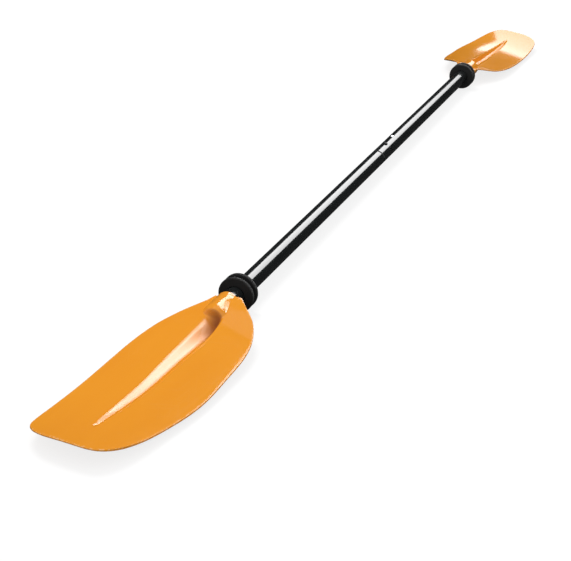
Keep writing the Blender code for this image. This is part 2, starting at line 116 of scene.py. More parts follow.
class Sock:
    """An output socket that takes part in Python expressions by adding Math nodes."""

    def __init__(self, tree: "NodeTree", socket: bpy.types.NodeSocket) -> None:
        """Wrap a socket of a tree."""
        self.tree = tree
        self.socket = socket

    def __add__(self, other: "Value") -> "Sock":
        """Sum of two values."""
        return self.tree.math("ADD", self, other)

    __radd__ = __add__

    def __mul__(self, other: "Value") -> "Sock":
        """Product of two values."""
        return self.tree.math("MULTIPLY", self, other)

    __rmul__ = __mul__

    def __sub__(self, other: "Value") -> "Sock":
        """Difference of two values."""
        return self.tree.math("SUBTRACT", self, other)

    def __rsub__(self, other: "Value") -> "Sock":
        """Difference with this value taken away."""
        return self.tree.math("SUBTRACT", other, self)

    def __truediv__(self, other: "Value") -> "Sock":
        """Quotient of two values."""
        return self.tree.math("DIVIDE", self, other)

    def __rtruediv__(self, other: "Value") -> "Sock":
        """Quotient with this value below."""
        return self.tree.math("DIVIDE", other, self)


Value = Union[Sock, float, int]


class NodeTree:
    """Adds nodes to a shader or geometry tree."""

    def __init__(self, tree: bpy.types.NodeTree) -> None:
        """Start with a tree that may already hold nodes."""
        self.tree = tree

    def node(self, kind: str, settings: dict[str, Any] | None = None,
             inputs: dict[Any, Any] | None = None) -> bpy.types.Node:
        """Add any node.

        Args:
            kind: The node's Blender type.
            settings: Properties of the node, which are set first.
            inputs: Values or links for its sockets, by name or by number.

        Returns:
            The new node.
        """
        made = self.tree.nodes.new(kind)
        for key, value in (settings or {}).items():
            setattr(made, key, value)
        for key, value in (inputs or {}).items():
            if isinstance(value, Sock):
                self.tree.links.new(value.socket, made.inputs[key])
            else:
                made.inputs[key].default_value = value
        return made

    def sock(self, kind: str, settings: dict[str, Any] | None = None,
             inputs: dict[Any, Any] | None = None, output: Any = 0) -> Sock:
        """Add a node and wrap one of its outputs.

        Args:
            kind: The node's Blender type.
            settings: Properties of the node, which are set first.
            inputs: Values or links for its sockets, by name or by number.
            output: Name or number of the output.

        Returns:
            The wrapped output.
        """
        return Sock(self, self.node(kind, settings, inputs).outputs[output])

    def math(self, operation: str, *values: Value) -> Sock:
        """Add a Math node for an operation on one or more values."""
        return self.sock("ShaderNodeMath", {"operation": operation}, dict(enumerate(values)))

    def axes(self, vector: Sock) -> tuple[Sock, ...]:
        """X, Y and Z of a vector."""
        parts = self.node("ShaderNodeSeparateXYZ", None, {0: vector})
        return tuple(Sock(self, parts.outputs[name]) for name in "XYZ")


class ShaderTree(NodeTree):
    """The node tree of one material, with the patterns that the finishes share."""

    def __init__(self, material: bpy.types.Material) -> None:
        """Empty the material's tree and read the place on the object."""
        material.use_nodes = True
        super().__init__(material.node_tree)
        self.tree.nodes.clear()
        self.place = self.sock("ShaderNodeTexCoord", output="Object")

    def stretched(self, stretch: Triple, turn: Triple = (0.0, 0.0, 0.0)) -> Sock:
        """Turn the place by angles in radians, then multiply it by a stretch per axis."""
        turned = self.sock("ShaderNodeMapping", {"vector_type": "POINT"},
                           {"Vector": self.place, "Rotation": turn})
        return self.sock("ShaderNodeVectorMath", {"operation": "MULTIPLY"}, {0: turned, 1: stretch})

    def noise(self, scale: float, vector: Sock | None = None, detail: float = 2.0,
              rough: float = 0.5) -> Sock:
        """Noise from 0 to 1.

        Args:
            scale: Features per metre.
            vector: Where to read it, or None for the place itself.
            detail: Octaves.
            rough: Weight of the finer octaves.

        Returns:
            The noise value.
        """
        return self.sock("ShaderNodeTexNoise", {"noise_dimensions": "3D"},
                         {"Vector": vector or self.place, "Scale": scale, "Detail": detail,
                          "Roughness": rough}, "Fac")

    def cells(self, scale: float, feature: str = "F1") -> Sock:
        """Distance in a pattern of cells, of a number of cells per metre."""
        return self.sock("ShaderNodeTexVoronoi", {"feature": feature},
                         {"Vector": self.place, "Scale": scale}, "Distance")

    def step(self, value: Sock, low: float, high: float) -> Sock:
        """Smooth step from 0 at low to 1 at high, either of which may be the larger."""
        return self.sock("ShaderNodeMapRange", {"interpolation_type": "SMOOTHSTEP"},
                         {"Value": value, "From Min": low, "From Max": high})

    def mix(self, share: Value, first: Union[Sock, Colour], second: Union[Sock, Colour]) -> Sock:
        """Mix two colours, with the second at share 1."""
        inputs = {6: first, 7: second}
        for key, value in inputs.items():
            inputs[key] = value if isinstance(value, Sock) else (*value, 1.0)
        return self.sock("ShaderNodeMix", {"data_type": "RGBA"}, {0: share, **inputs}, 2)

    def hairlines(self, scale: float, turns: Sequence[float], share: float) -> Sock:
        """Fine scratches in a few directions of the XY plane.

        Args:
            scale: Scratches per metre, across them.
            turns: Directions in degrees.
            share: How much of the surface they cover, from 0 to about 0.5.

        Returns:
            A mask that is 1 in a scratch.
        """
        mask: Value = 0.0
        least = 0.70 - share * 0.2
        for number, turn in enumerate(turns):
            tilt = (0.0, 0.1 * number, math.radians(turn))
            vector = self.stretched((scale * 0.02, scale, scale * 0.3), tilt)
            lines = self.step(self.noise(1.0, vector, 1.0), least, least + 0.04)
            mask = self.math("MAXIMUM", lines, mask)
        patches = self.step(self.noise(scale * 0.03), 0.45, 0.62)
        return mask * patches

    def bump(self, height: Sock, depth: float, below: Sock | None = None) -> Sock:
        """A bumped normal from a height of 0 to 1, of a depth in metres, over another one if given."""
        inputs: dict[Any, Any] = {"Height": height, "Distance": depth, "Strength": 1.0}
        if below is not None:
            inputs["Normal"] = below
        return self.sock("ShaderNodeBump", None, inputs)

    def attribute(self, name: str) -> Sock:
        """A number that the mesh holds at each point."""
        return self.sock("ShaderNodeAttribute", {"attribute_name": name}, None, "Fac")

    def surface(self, settings: dict[str, Any]) -> None:
        """End the tree in a Principled shader with these socket values or links."""
        shader = self.sock("ShaderNodeBsdfPrincipled", None, settings)
        self.node("ShaderNodeOutputMaterial", None, {"Surface": shader})


@dataclass(frozen=True)
class Finish:
    """A procedural material, and the slot of the record that it stands for."""

    name: str
    slot: str
    colour: Colour

    def paint(self, tree: ShaderTree) -> None:
        """Fill the material's tree."""
        tree.surface({"Base Color": (*self.colour, 1.0)})

    def material(self) -> bpy.types.Material:
        """The material, which is made the first time it is asked for."""
        made = bpy.data.materials.get(self.name)
        if made is None:
            made = bpy.data.materials.new(self.name)
            self.paint(ShaderTree(made))
        return made


@dataclass(frozen=True)
class MouldedNylon(Finish):
    """Glossy injection-moulded nylon with flow marks, faint hairlines, a scuffed rim and painted shade in
    the recess below the socket.
    """

    deep: Colour = (0.78, 0.235, 0.008)
    scuffed: Colour = (0.93, 0.56, 0.24)
    shaded: Colour = (0.26, 0.060, 0.002)  # painted shade in the hollow below the socket
    # How far the base colour goes towards the painted shade colour
    shade: float = 0.9
    scuff_width: float = 0.0042  # from the rim inwards
    scuff_full: float = 0.0004  # within this of the rim
    roughness: float = 0.075
    hollow_roughness: float = 0.5
    peel_depth: float = 0.000012
    grain_depth: float = 0.000010
    ior: float = 1.46

    def paint(self, tree: ShaderTree) -> None:
        """Fill the material's tree."""
        flow = tree.noise(1.0, tree.stretched((5.0, 26.0, 26.0)), 3.0)
        cloud = tree.noise(7.0, detail=3.0)
        grain = tree.noise(900.0, detail=1.0)
        chips = tree.step(tree.noise(330.0, detail=3.0), 0.50, 0.62)
        scuffs = tree.step(tree.attribute("rim_distance"), self.scuff_width, self.scuff_full) * chips
        lines = tree.hairlines(420.0, (8.0, -22.0, 63.0), 0.35)
        base = tree.mix(flow * 0.35 + cloud * 0.35 - 0.12, self.colour, self.deep)
        base = tree.mix(grain * 0.05, base, self.scuffed)
        base = tree.mix(scuffs * 0.55 + lines * 0.02, base, self.scuffed)
        # Painted shade: in the hollow below the socket's nose the base colour darkens towards the shaded
        # colour by the mesh's mask, and the same mask roughens the face there
        hollow = tree.attribute("recess")
        base = tree.mix(hollow * self.shade, base, self.shaded)
        marks = cloud * 0.05 + lines * 0.04 + scuffs * 0.3
        rough = marks + hollow * self.hollow_roughness + self.roughness
        peel = tree.bump(tree.noise(150.0, detail=1.0), self.peel_depth)
        fine = tree.bump(grain - lines * 0.06 - scuffs, self.grain_depth, peel)
        tree.surface({"Base Color": base, "Roughness": rough, "Normal": fine, "IOR": self.ior})


@dataclass(frozen=True)
class CoatedTube(Finish):
    """Gloss black coating on an alloy tube, rubbed by hands and by the sliding rings."""

    rubbed: Colour = (0.030, 0.032, 0.033)
    roughness: float = 0.09
    coat_depth: float = 0.00001
    scratch_depth: float = 0.000004
    ior: float = 1.50

    def paint(self, tree: ShaderTree) -> None:
        """Fill the material's tree."""
        cloud = tree.noise(16.0, tree.stretched((1.0, 3.0, 3.0)), 3.0)
        speck = tree.noise(1400.0, detail=1.0)
        draw = tree.step(tree.noise(1.0, tree.stretched((9.0, 2600.0, 2600.0)), 1.0), 0.62, 0.72)
        rings = tree.step(tree.noise(1.0, tree.stretched((3800.0, 30.0, 30.0)), 1.0), 0.66, 0.74)
        worn = tree.step(tree.noise(9.0), 0.48, 0.68)
        scratches = draw * 0.5 + rings * worn
        base = tree.mix(cloud * 0.4 + scratches * 0.35 + speck * 0.08, self.colour, self.rubbed)
        rough = cloud * 0.06 + scratches * 0.09 + self.roughness
        coat = tree.bump(tree.noise(260.0, detail=1.0), self.coat_depth)
        tree.surface({"Base Color": base, "Roughness": rough, "IOR": self.ior,
                      "Normal": tree.bump(speck - scratches, self.scratch_depth, coat)})


@dataclass(frozen=True)
class SoftRubber(Finish):
    """Satin black rubber with a fine moulded skin, a little paler where dust stays."""

    dusty: Colour = (0.0060, 0.0058, 0.0056)
    roughness: float = 0.52
    gloss: float = 0.05
    skin_depth: float = 0.00004

    def paint(self, tree: ShaderTree) -> None:
        """Fill the material's tree."""
        dust = tree.step(tree.noise(120.0, detail=4.0, rough=0.6), 0.42, 0.75)
        skin = tree.noise(2200.0, detail=2.0)
        lathe = tree.noise(1.0, tree.stretched((2400.0, 12.0, 12.0)), 1.0)
        base = tree.mix(dust * 0.7 + skin * 0.15, self.colour, self.dusty)
        tree.surface({"Base Color": base, "Roughness": dust * 0.22 + skin * 0.1 + self.roughness,
                      "Specular IOR Level": self.gloss,
                      "Normal": tree.bump(skin * 0.7 + lathe * 0.3, self.skin_depth)})


@dataclass(frozen=True)
class GlassFibre(Finish):
    """Dark wound glass fibre, with crossing bundles under a smooth resin face."""

    bundle: Colour = (0.085, 0.088, 0.092)
    pitch: float = 0.0022
    radius: float = 0.0113
    axis_height: float = 0.028
    weave_depth: float = 0.00006

    def paint(self, tree: ShaderTree) -> None:
        """Fill the material's tree."""
        along, across, up = tree.axes(tree.place)
        around = tree.math("ARCTAN2", across, up - self.axis_height) * self.radius
        first, second = (tree.math("SINE", diagonal * (math.tau / self.pitch)) * 0.5 + 0.5
                         for diagonal in (along + around, along - around))
        over = tree.step(tree.math("SINE", along * (math.pi / self.pitch)), -0.3, 0.3)
        weave = first * over + second * (1.0 - over)
        resin = tree.noise(90.0, detail=3.0)
        strands = tree.noise(1.0, tree.stretched((4200.0, 500.0, 500.0)), 2.0)
        base = tree.mix(weave * 0.7 + strands * 0.3, self.colour, self.bundle)
        tree.surface({"Base Color": base, "Roughness": resin * 0.2 + 0.24,
                      "Normal": tree.bump(weave * 0.8 + strands * 0.2, self.weave_depth)})


@dataclass(frozen=True)
class TurnedPlastic(Finish):
    """Matt plastic with fine rings from turning, or a spark-eroded skin where rings is 0."""

    paler: Colour = (0.11, 0.11, 0.112)
    rings: float = 1500.0  # per metre along X
    roughness: float = 0.42
    gloss: float = 0.5
    skin_depth: float = 0.00004

    def paint(self, tree: ShaderTree) -> None:
        """Fill the material's tree."""
        skin = tree.noise(1800.0, detail=3.0)
        lathe = tree.noise(1.0, tree.stretched((self.rings, 8.0, 8.0)), 2.0) if self.rings else skin
        cloud = tree.noise(45.0, detail=3.0)
        base = tree.mix(cloud * 0.4 + lathe * 0.25, self.colour, self.paler)
        tree.surface({"Base Color": base, "Roughness": cloud * 0.15 + lathe * 0.1 + self.roughness,
                      "Specular IOR Level": self.gloss,
                      "Normal": tree.bump(lathe * 0.6 + skin * 0.4, self.skin_depth)})


@dataclass(frozen=True)
class BrushedMetal(Finish):
    """Bare or blacked metal with brushing along one direction, small dents and a dull film."""

    dull: Colour = (0.22, 0.22, 0.225)
    brush: Triple = (60.0, 5200.0, 5200.0)  # features per metre on each axis
    roughness: float = 0.24
    metallic: float = 1.0  # 0 where a black oxide hides the metal
    gloss: float = 0.5
    dent_depth: float = 0.00002

    def paint(self, tree: ShaderTree) -> None:
        """Fill the material's tree."""
        brushed = tree.noise(1.0, tree.stretched(self.brush), 2.0)
        film = tree.step(tree.noise(420.0, detail=4.0, rough=0.6), 0.40, 0.75)
        dents = tree.step(tree.cells(900.0), 0.0, 0.35)
        base = tree.mix(film * 0.6 + brushed * 0.25, self.colour, self.dull)
        rough = film * 0.2 + brushed * 0.14 + self.roughness
        tree.surface({"Base Color": base, "Roughness": rough, "Metallic": self.metallic,
                      "Specular IOR Level": self.gloss,
                      "Normal": tree.bump(brushed * 0.5 + dents * 0.5, self.dent_depth)})


@dataclass(frozen=True)
class CellFoam(Finish):
    """Grey closed-cell foam with cut cells on its faces."""

    pore: Colour = (0.30, 0.30, 0.28)
    pores: float = 1300.0  # per metre
    pore_depth: float = 0.0002

    def paint(self, tree: ShaderTree) -> None:
        """Fill the material's tree."""
        walls = tree.step(tree.cells(self.pores, "DISTANCE_TO_EDGE"), 0.02, 0.22)
        cloud = tree.noise(60.0, detail=3.0)
        base = tree.mix(walls * 0.6 + cloud * 0.3, self.colour, self.pore)
        tree.surface({"Base Color": base, "Roughness": cloud * 0.1 + 0.82,
                      "Normal": tree.bump(1.0 - walls, self.pore_depth)})


ORANGE_NYLON = MouldedNylon("orange_nylon", "blade_orange", (0.90, 0.345, 0.022))
BLACK_TUBE = CoatedTube("black_coated_tube", "shaft_black", (0.0065, 0.0080, 0.0082))
RING_RUBBER = SoftRubber("ring_rubber", "ring_rubber", (0.0030, 0.0030, 0.0032))
SLEEVE_FIBRE = GlassFibre("sleeve_glass_fibre", "sleeve_black", (0.018, 0.018, 0.020))
LINER_NYLON = TurnedPlastic("liner_nylon", "liner_nylon", (0.012, 0.012, 0.012),
                            paler=(0.030, 0.030, 0.031), roughness=0.62, gloss=0.10)
BUTTON_STEEL = BrushedMetal("blacked_button_steel", "button_steel", (0.010, 0.010, 0.011),
                            dull=(0.024, 0.024, 0.025), brush=(900.0, 900.0, 60.0), roughness=0.42,
                            metallic=0.0, gloss=0.06)
SPRING_STEEL = BrushedMetal("spring_steel", "spring_steel", (0.50, 0.51, 0.53), brush=(40.0, 4000.0, 900.0))
RIVET_ALLOY = BrushedMetal("rivet_alloy", "rivet_alloy", (0.72, 0.73, 0.74), dull=(0.46, 0.46, 0.47),
                           brush=(1500.0, 1500.0, 1500.0), roughness=0.28)
PLUG_PLASTIC = TurnedPlastic("plug_plastic", "plug_plastic", (0.030, 0.030, 0.030),
                             paler=(0.07, 0.07, 0.07), rings=0.0)
BUNG_FOAM = CellFoam("bung_foam", "bung_foam", (0.55, 0.55, 0.52))


def smoothstep(start: float, end: float, x: np.ndarray) -> np.ndarray:
    """Smooth step from 0 at start to 1 at end."""
    share = np.clip((x - start) / (end - start), 0.0, 1.0)
    return share * share * (3.0 - 2.0 * share)


def smooth_max(a: np.ndarray, b: Any, blend: Any) -> np.ndarray:
    """The larger of two heights, with a fillet of about the blend size where they meet."""
    blend = np.maximum(blend, LEAST_BLEND)
    share = np.clip(0.5 + 0.5 * (a - b) / blend, 0.0, 1.0)
    return b + (a - b) * share + blend * share * (1.0 - share)


def spline(points: Sequence[Point]) -> tuple[Callable[[np.ndarray], np.ndarray], np.ndarray]:
    """A natural cubic spline through plan points.

    Args:
        points: The points in order.

    Returns:
        A function from chord length to place, and the chord length at each point.
    """
    place = np.array(points, float)
    knots = np.concatenate([[0.0], np.cumsum(np.linalg.norm(np.diff(place, axis=0), axis=1))])
    step = np.diff(knots)
    system = np.eye(len(place))
    target = np.zeros_like(place)
    for i in range(1, len(place) - 1):
        system[i, i - 1:i + 2] = step[i - 1], 2 * (step[i - 1] + step[i]), step[i]
        target[i] = 6 * ((place[i + 1] - place[i]) / step[i] - (place[i] - place[i - 1]) / step[i - 1])
    bend = np.linalg.solve(system, target)

    def at(distance: np.ndarray) -> np.ndarray:
        """Places at these chord lengths."""
        i = np.clip(np.searchsorted(knots, distance, side="right") - 1, 0, len(step) - 1)
        left = ((distance - knots[i]) / step[i])[..., None]
        right = 1.0 - left
        span = step[i][..., None]
        return (right * place[i] + left * place[i + 1]
                + span**2 / 6 * ((right**3 - right) * bend[i] + (left**3 - left) * bend[i + 1]))

    return at, knots


def rounded(corners: Sequence[Corner], closed: bool, steps: int = 4) -> list[Point]:
    """Round the corners of a turned profile.

    Args:
        corners: Distance along the axis, radius and fillet of each corner.
        closed: Whether the profile is a loop, as on a tube, or ends on the axis.
        steps: Faces in each fillet.

    Returns:
        The profile's points. Beside a fillet, one more point keeps the straight stretch straight.
    """
    points: list[Point] = []
    beside = 0.15  # share of the fillet
    shares = np.concatenate([[-beside], np.linspace(0.0, 1.0, steps + 1), [1.0 + beside]])
    for i, (x, radius, fillet) in enumerate(corners):
        here = np.array((x, radius))
        if fillet == 0.0:
            points.append((x, radius))
            continue
        to_before = np.array(corners[i - 1][:2]) - here
        to_after = np.array(corners[(i + 1) % len(corners)][:2]) - here
        to_before /= np.linalg.norm(to_before)
        to_after /= np.linalg.norm(to_after)
        for share in shares:
            before = (1.0 - share) ** 2 if share < 1.0 else 0.0
            after = share**2 if share > 0.0 else 0.0
            points.append(tuple(here + fillet * (before * to_before + after * to_after)))
    return points + points[:1] if closed else points


def meshed(name: str, places: Sequence[Any], faces: Sequence[Sequence[int]] = ()) -> bpy.types.Mesh:
    """A new mesh of points and faces."""
    mesh = bpy.data.meshes.new(name)
    mesh.from_pydata(places, [], faces)
    return mesh


def quads(sheet: np.ndarray) -> list[list[int]]:
    """Corner numbers of the faces between the rows and columns of a grid of point numbers."""
    stack = np.stack([sheet[:-1, :-1], sheet[1:, :-1], sheet[1:, 1:], sheet[:-1, 1:]], axis=-1)
    return stack.reshape(-1, 4).tolist()


def filled(name: str, shape: bmesh.types.BMesh) -> bpy.types.Mesh:
    """A new mesh of a finished bmesh, which is freed."""
    mesh = bpy.data.meshes.new(name)
    shape.to_mesh(mesh)
    shape.free()
    return mesh


def store(mesh: bpy.types.Mesh, name: str, values: Any) -> None:
    """Keep one number for each point of a mesh."""
    kept = mesh.attributes.new(name, "FLOAT", "POINT")
    kept.data.foreach_set("value", np.asarray(values, np.float32))


def linked(name: str, data: bpy.types.ID) -> bpy.types.Object:
    """A new object of a mesh, a camera or a light, at the origin."""
    made = bpy.data.objects.new(name, data)
    bpy.context.scene.collection.objects.link(made)
    return made


def evaluated(obj: bpy.types.Object) -> None:
    """Swap an object's mesh for what its modifiers make of it, all in its one finish, and remove them."""
    graph = bpy.context.evaluated_depsgraph_get()
    mesh = bpy.data.meshes.new_from_object(obj.evaluated_get(graph))
    obj.modifiers.clear()
    old = obj.data
    obj.data = mesh
    mesh.name = obj.name
    bpy.data.meshes.remove(old)
    finish = next(material for material in mesh.materials if material)
    mesh.materials.clear()
    mesh.materials.append(finish)
    mesh.polygons.foreach_set("material_index", np.zeros(len(mesh.polygons), np.int32))


def shaded(mesh: bpy.types.Mesh) -> None:
    """Shade a mesh smooth up to the limit angle."""
    mesh.shade_smooth()
    mesh.set_sharp_from_angle(angle=SMOOTH_LIMIT)


def smoothed(mesh: bpy.types.Mesh) -> None:
    """Point a closed mesh's faces outwards and shade it."""
    shape = bmesh.new()
    shape.from_mesh(mesh)
    bmesh.ops.remove_doubles(shape, verts=shape.verts, dist=MERGE_DISTANCE)
    bmesh.ops.recalc_face_normals(shape, faces=shape.faces)
    shape.to_mesh(mesh)
    shape.free()
    shaded(mesh)


def radial(angle: float) -> Vector:
    """The direction out of the shaft at an angle in degrees from the top, towards +Y."""
    turn = math.radians(angle)
    return Vector((0.0, math.sin(turn), math.cos(turn)))


def on_axis(x: float, height: float, direction: Vector = Vector((1, 0, 0))) -> Matrix:
    """The place of a turned piece whose own axis X points along a direction from the shaft axis."""
    turn = Vector((1, 0, 0)).rotation_difference(direction).to_matrix().to_4x4()
    return Matrix.Translation((x, 0.0, height)) @ turn


class Recipe:
    """A Geometry Nodes tree with named inputs, made the first time it is asked for."""

    name = ""
    inputs: dict[str, str] = {}  # name and type of each socket

    @classmethod
    def tree(cls) -> bpy.types.NodeTree:
        """The finished tree."""
        group = bpy.data.node_groups.get(cls.name)
        if group is not None:
            return group
        group = bpy.data.node_groups.new(cls.name, "GeometryNodeTree")
        for label, kind in cls.inputs.items():
            group.interface.new_socket(label, in_out="INPUT", socket_type=kind)
        group.interface.new_socket("Piece", in_out="OUTPUT", socket_type="NodeSocketGeometry")
        made = NodeTree(group)
        given = made.node("NodeGroupInput")
        piece = cls.wire(made, *(Sock(made, given.outputs[label]) for label in cls.inputs))
        made.node("NodeGroupOutput", None, {"Piece": piece})
        return group

    @classmethod
    def wire(cls, made: NodeTree, *given: Sock) -> Sock:
        """Add the nodes from the given inputs to the piece."""
        raise NotImplementedError

    @classmethod
    def run(cls, piece: bpy.types.Object, values: dict[str, Any]) -> None:
        """Swap an object's mesh for what the tree makes of it, with these values for named inputs."""
        nodes = piece.modifiers.new(cls.name, "NODES")
        nodes.node_group = cls.tree()
        for item in nodes.node_group.interface.items_tree:
            if item.in_out == "INPUT" and item.name in values:
                nodes[item.identifier] = values[item.name]
        evaluated(piece)


class TurnedTree(Recipe):
    """Turns a profile of (distance, radius) points about X."""

    name = "turned_piece"
    inputs = {"Profile": "NodeSocketGeometry", "Segments": "NodeSocketInt", "Finish": "NodeSocketMaterial"}
    merge_distance = 1e-6

    @classmethod
    def wire(cls, made: NodeTree, *given: Sock) -> Sock:
        """Lay a grid, one row for each point of the profile, round the axis and close it."""
        profile, segments, finish = given
        points = made.sock("GeometryNodeAttributeDomainSize", {"component": "MESH"}, {0: profile},
                           "Point Count")
        columns = segments + 1
        grid = made.sock("GeometryNodeMeshGrid", None, {"Vertices X": points, "Vertices Y": columns}, "Mesh")
        index = made.sock("GeometryNodeInputIndex")
        row = made.math("FLOOR", (index + 0.5) / columns)
        here = made.sock("GeometryNodeInputPosition")
        corner = made.sock("GeometryNodeSampleIndex", {"data_type": "FLOAT_VECTOR", "domain": "POINT"},
                           {"Geometry": profile, "Value": here, "Index": row})
        along, _, radius = made.axes(corner)
        angle = (index - row * columns) / segments * math.tau
        place = made.sock("ShaderNodeCombineXYZ", None,
                          {"X": along, "Y": radius * made.math("SINE", angle),
                           "Z": radius * made.math("COSINE", angle)})
        moved = made.sock("GeometryNodeSetPosition", None, {"Geometry": grid, "Position": place})
        merged = made.sock("GeometryNodeMergeByDistance", None,
                           {"Geometry": moved, "Distance": cls.merge_distance})
        real = made.sock("GeometryNodeRealizeInstances", None, {"Geometry": merged})
        return made.sock("GeometryNodeSetMaterial", None, {"Geometry": real, "Material": finish})


def polyline(name: str, points: Sequence[Point]) -> bpy.types.Mesh:
    """A mesh of the points of a turned profile, without faces."""
    return meshed(name, [(x, 0.0, radius) for x, radius in points])


def turned(name: str, corners: Sequence[Corner], finish: Finish, place: Matrix, closed: bool = True,
           segments: int = 96) -> bpy.types.Object:
    """Turn a profile with rounded corners into a piece.

    Args:
        name: The piece's name.
        corners: Distance along the piece's axis, radius and fillet of each corner.
        finish: Its material.
        place: Where its own axis X lies.
        closed: Whether the profile is a loop, as on a tube, or ends on the axis.
        segments: Faces around.

    Returns:
        The piece, at the origin, with its place in its mesh.
    """
    made = linked(name, polyline(name, rounded(corners, closed)))
    TurnedTree.run(made, {"Segments": segments, "Finish": finish.material()})
    made.data.transform(place)
    smoothed(made.data)
    return made


@dataclass(frozen=True)
class Hole:
    """A round hole along a direction, between two distances from a point."""

    origin: Triple
    direction: Vector
    diameter: float
    start: float
    end: float
    sides: int = 48

    def cutter(self) -> bpy.types.Object:
        """A closed cylinder in the hole's place."""
        shape = bmesh.new()
        length = self.end - self.start
        turn = Vector((0, 0, 1)).rotation_difference(self.direction).to_matrix().to_4x4()
        middle = Matrix.Translation((0, 0, self.start + length / 2))
        place = Matrix.Translation(self.origin) @ turn @ middle
        # A quarter of a face's turn, so that no edge of the cutter lies on an edge of what it cuts
        aside = Matrix.Rotation(math.pi / (2 * self.sides), 4, "Z")
        bmesh.ops.create_cone(shape, cap_ends=True, segments=self.sides, radius1=self.diameter / 2,
                              radius2=self.diameter / 2, depth=length, matrix=place @ aside)
        return linked("cutter", filled("cutter", shape))


def pierce(piece: bpy.types.Object, holes: Sequence[Hole], solver: str = "EXACT") -> None:
    """Cut holes through a piece and shade it again.

    Args:
        piece: What is cut.
        holes: The holes, in the order in which they are cut.
        solver: The Boolean solver. On the sleeve the exact one gave a different mesh from run to run.
    """
    cutters = [hole.cutter() for hole in holes]
    for cutter in cutters:
        cut = piece.modifiers.new("hole", "BOOLEAN")
        cut.operation = "DIFFERENCE"
        cut.solver = solver
        cut.object = cutter
    evaluated(piece)
    for cutter in cutters:
        bpy.data.objects.remove(cutter)
    shaded(piece.data)


def mount(piece: bpy.types.Object, body: Body, finish: Finish, *nodes: str) -> None:
    """Give a piece to its body, in place of its solids."""
    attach(piece, body.value)
    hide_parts(*nodes)
    log.info("%s rides on %s: %d faces", piece.name, body.value, len(piece.data.polygons))


@dataclass(frozen=True)
class Layout:
    """Places and sizes that the sub-assemblies share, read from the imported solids."""

    axis_height: float
    shaft_radius: float
    mouth: float  # X of a socket's mouth from the middle
    seam: float
    seam_half: float  # from the seam to a tube's end
    rivet_shank: float = 0.004
    shaft_wall: float = 0.0014
    button_diameter: float = 0.0070
    feather_angles: tuple[float, ...] = (0.0, 60.0, -60.0)
    liner_angles: tuple[float, ...] = (12.0, 192.0)

    @classmethod
    def from_frame(cls) -> "Layout":
        """Measure the solids."""
        ring_low, ring_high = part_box("near_drip_ring")
        tube_low, tube_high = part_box("far_shaft_tube")
        washer_low, washer_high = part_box("seam_washer")
        seam = (washer_low.x + washer_high.x) / 2
        return cls((ring_low.z + ring_high.z) / 2, (tube_high.y - tube_low.y) / 2,
                   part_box("far_blade")[0].x, seam, tube_low.x - seam)

    @property
    def bore(self) -> float:
        """Radius of the tubes' bore."""
        return self.shaft_radius - self.shaft_wall

    def middle(self, node: str) -> float:
        """X of the middle of a solid."""
        low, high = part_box(node)
        return (low.x + high.x) / 2

    def mouth_place(self, side: Side) -> Triple:
        """The middle of a socket's mouth."""
        return side.outward * self.mouth, 0.0, self.axis_height

    def blade_seats(self, side: Side) -> list[Seat]:
        """Seats of the rivets that hold a blade."""
        return [(f"{side.value}_blade_rivet_{letter}", UNDERSIDE) for letter in PAIR]

    def ferrule_seats(self, side: Side) -> list[Seat]:
        """Seats of the rivets that hold the sleeve in the near tube, or the liner in the far one."""
        if side is Side.NEAR:
            return [(f"ferrule_rivet_{letter}", UNDERSIDE) for letter in PAIR]
        return [(f"liner_rivet_{letter}", angle) for letter, angle in zip(PAIR, self.liner_angles)]

    def rivet_holes(self, seats: Sequence[Seat], start: float, end: float) -> list[Hole]:
        """The holes of rivets, between two distances from the shaft axis."""
        diameter = self.rivet_shank + 2 * FIT_GAP
        return [self.radial_hole(self.middle(node), angle, diameter, start, end) for node, angle in seats]

    def button_holes(self, angles: Sequence[float], start: float, end: float) -> list[Hole]:
        """The holes of the snap button at these angles from the top."""
        diameter = self.button_diameter + 2 * FIT_GAP
        x = self.middle("snap_button")
        return [self.radial_hole(x, angle, diameter, start, end) for angle in angles]

    def radial_hole(self, x: float, angle: float, diameter: float, start: float, end: float) -> Hole:
        """A hole out of the shaft axis at an angle from the top."""
        return Hole((x, 0.0, self.axis_height), radial(angle), diameter, start, end)


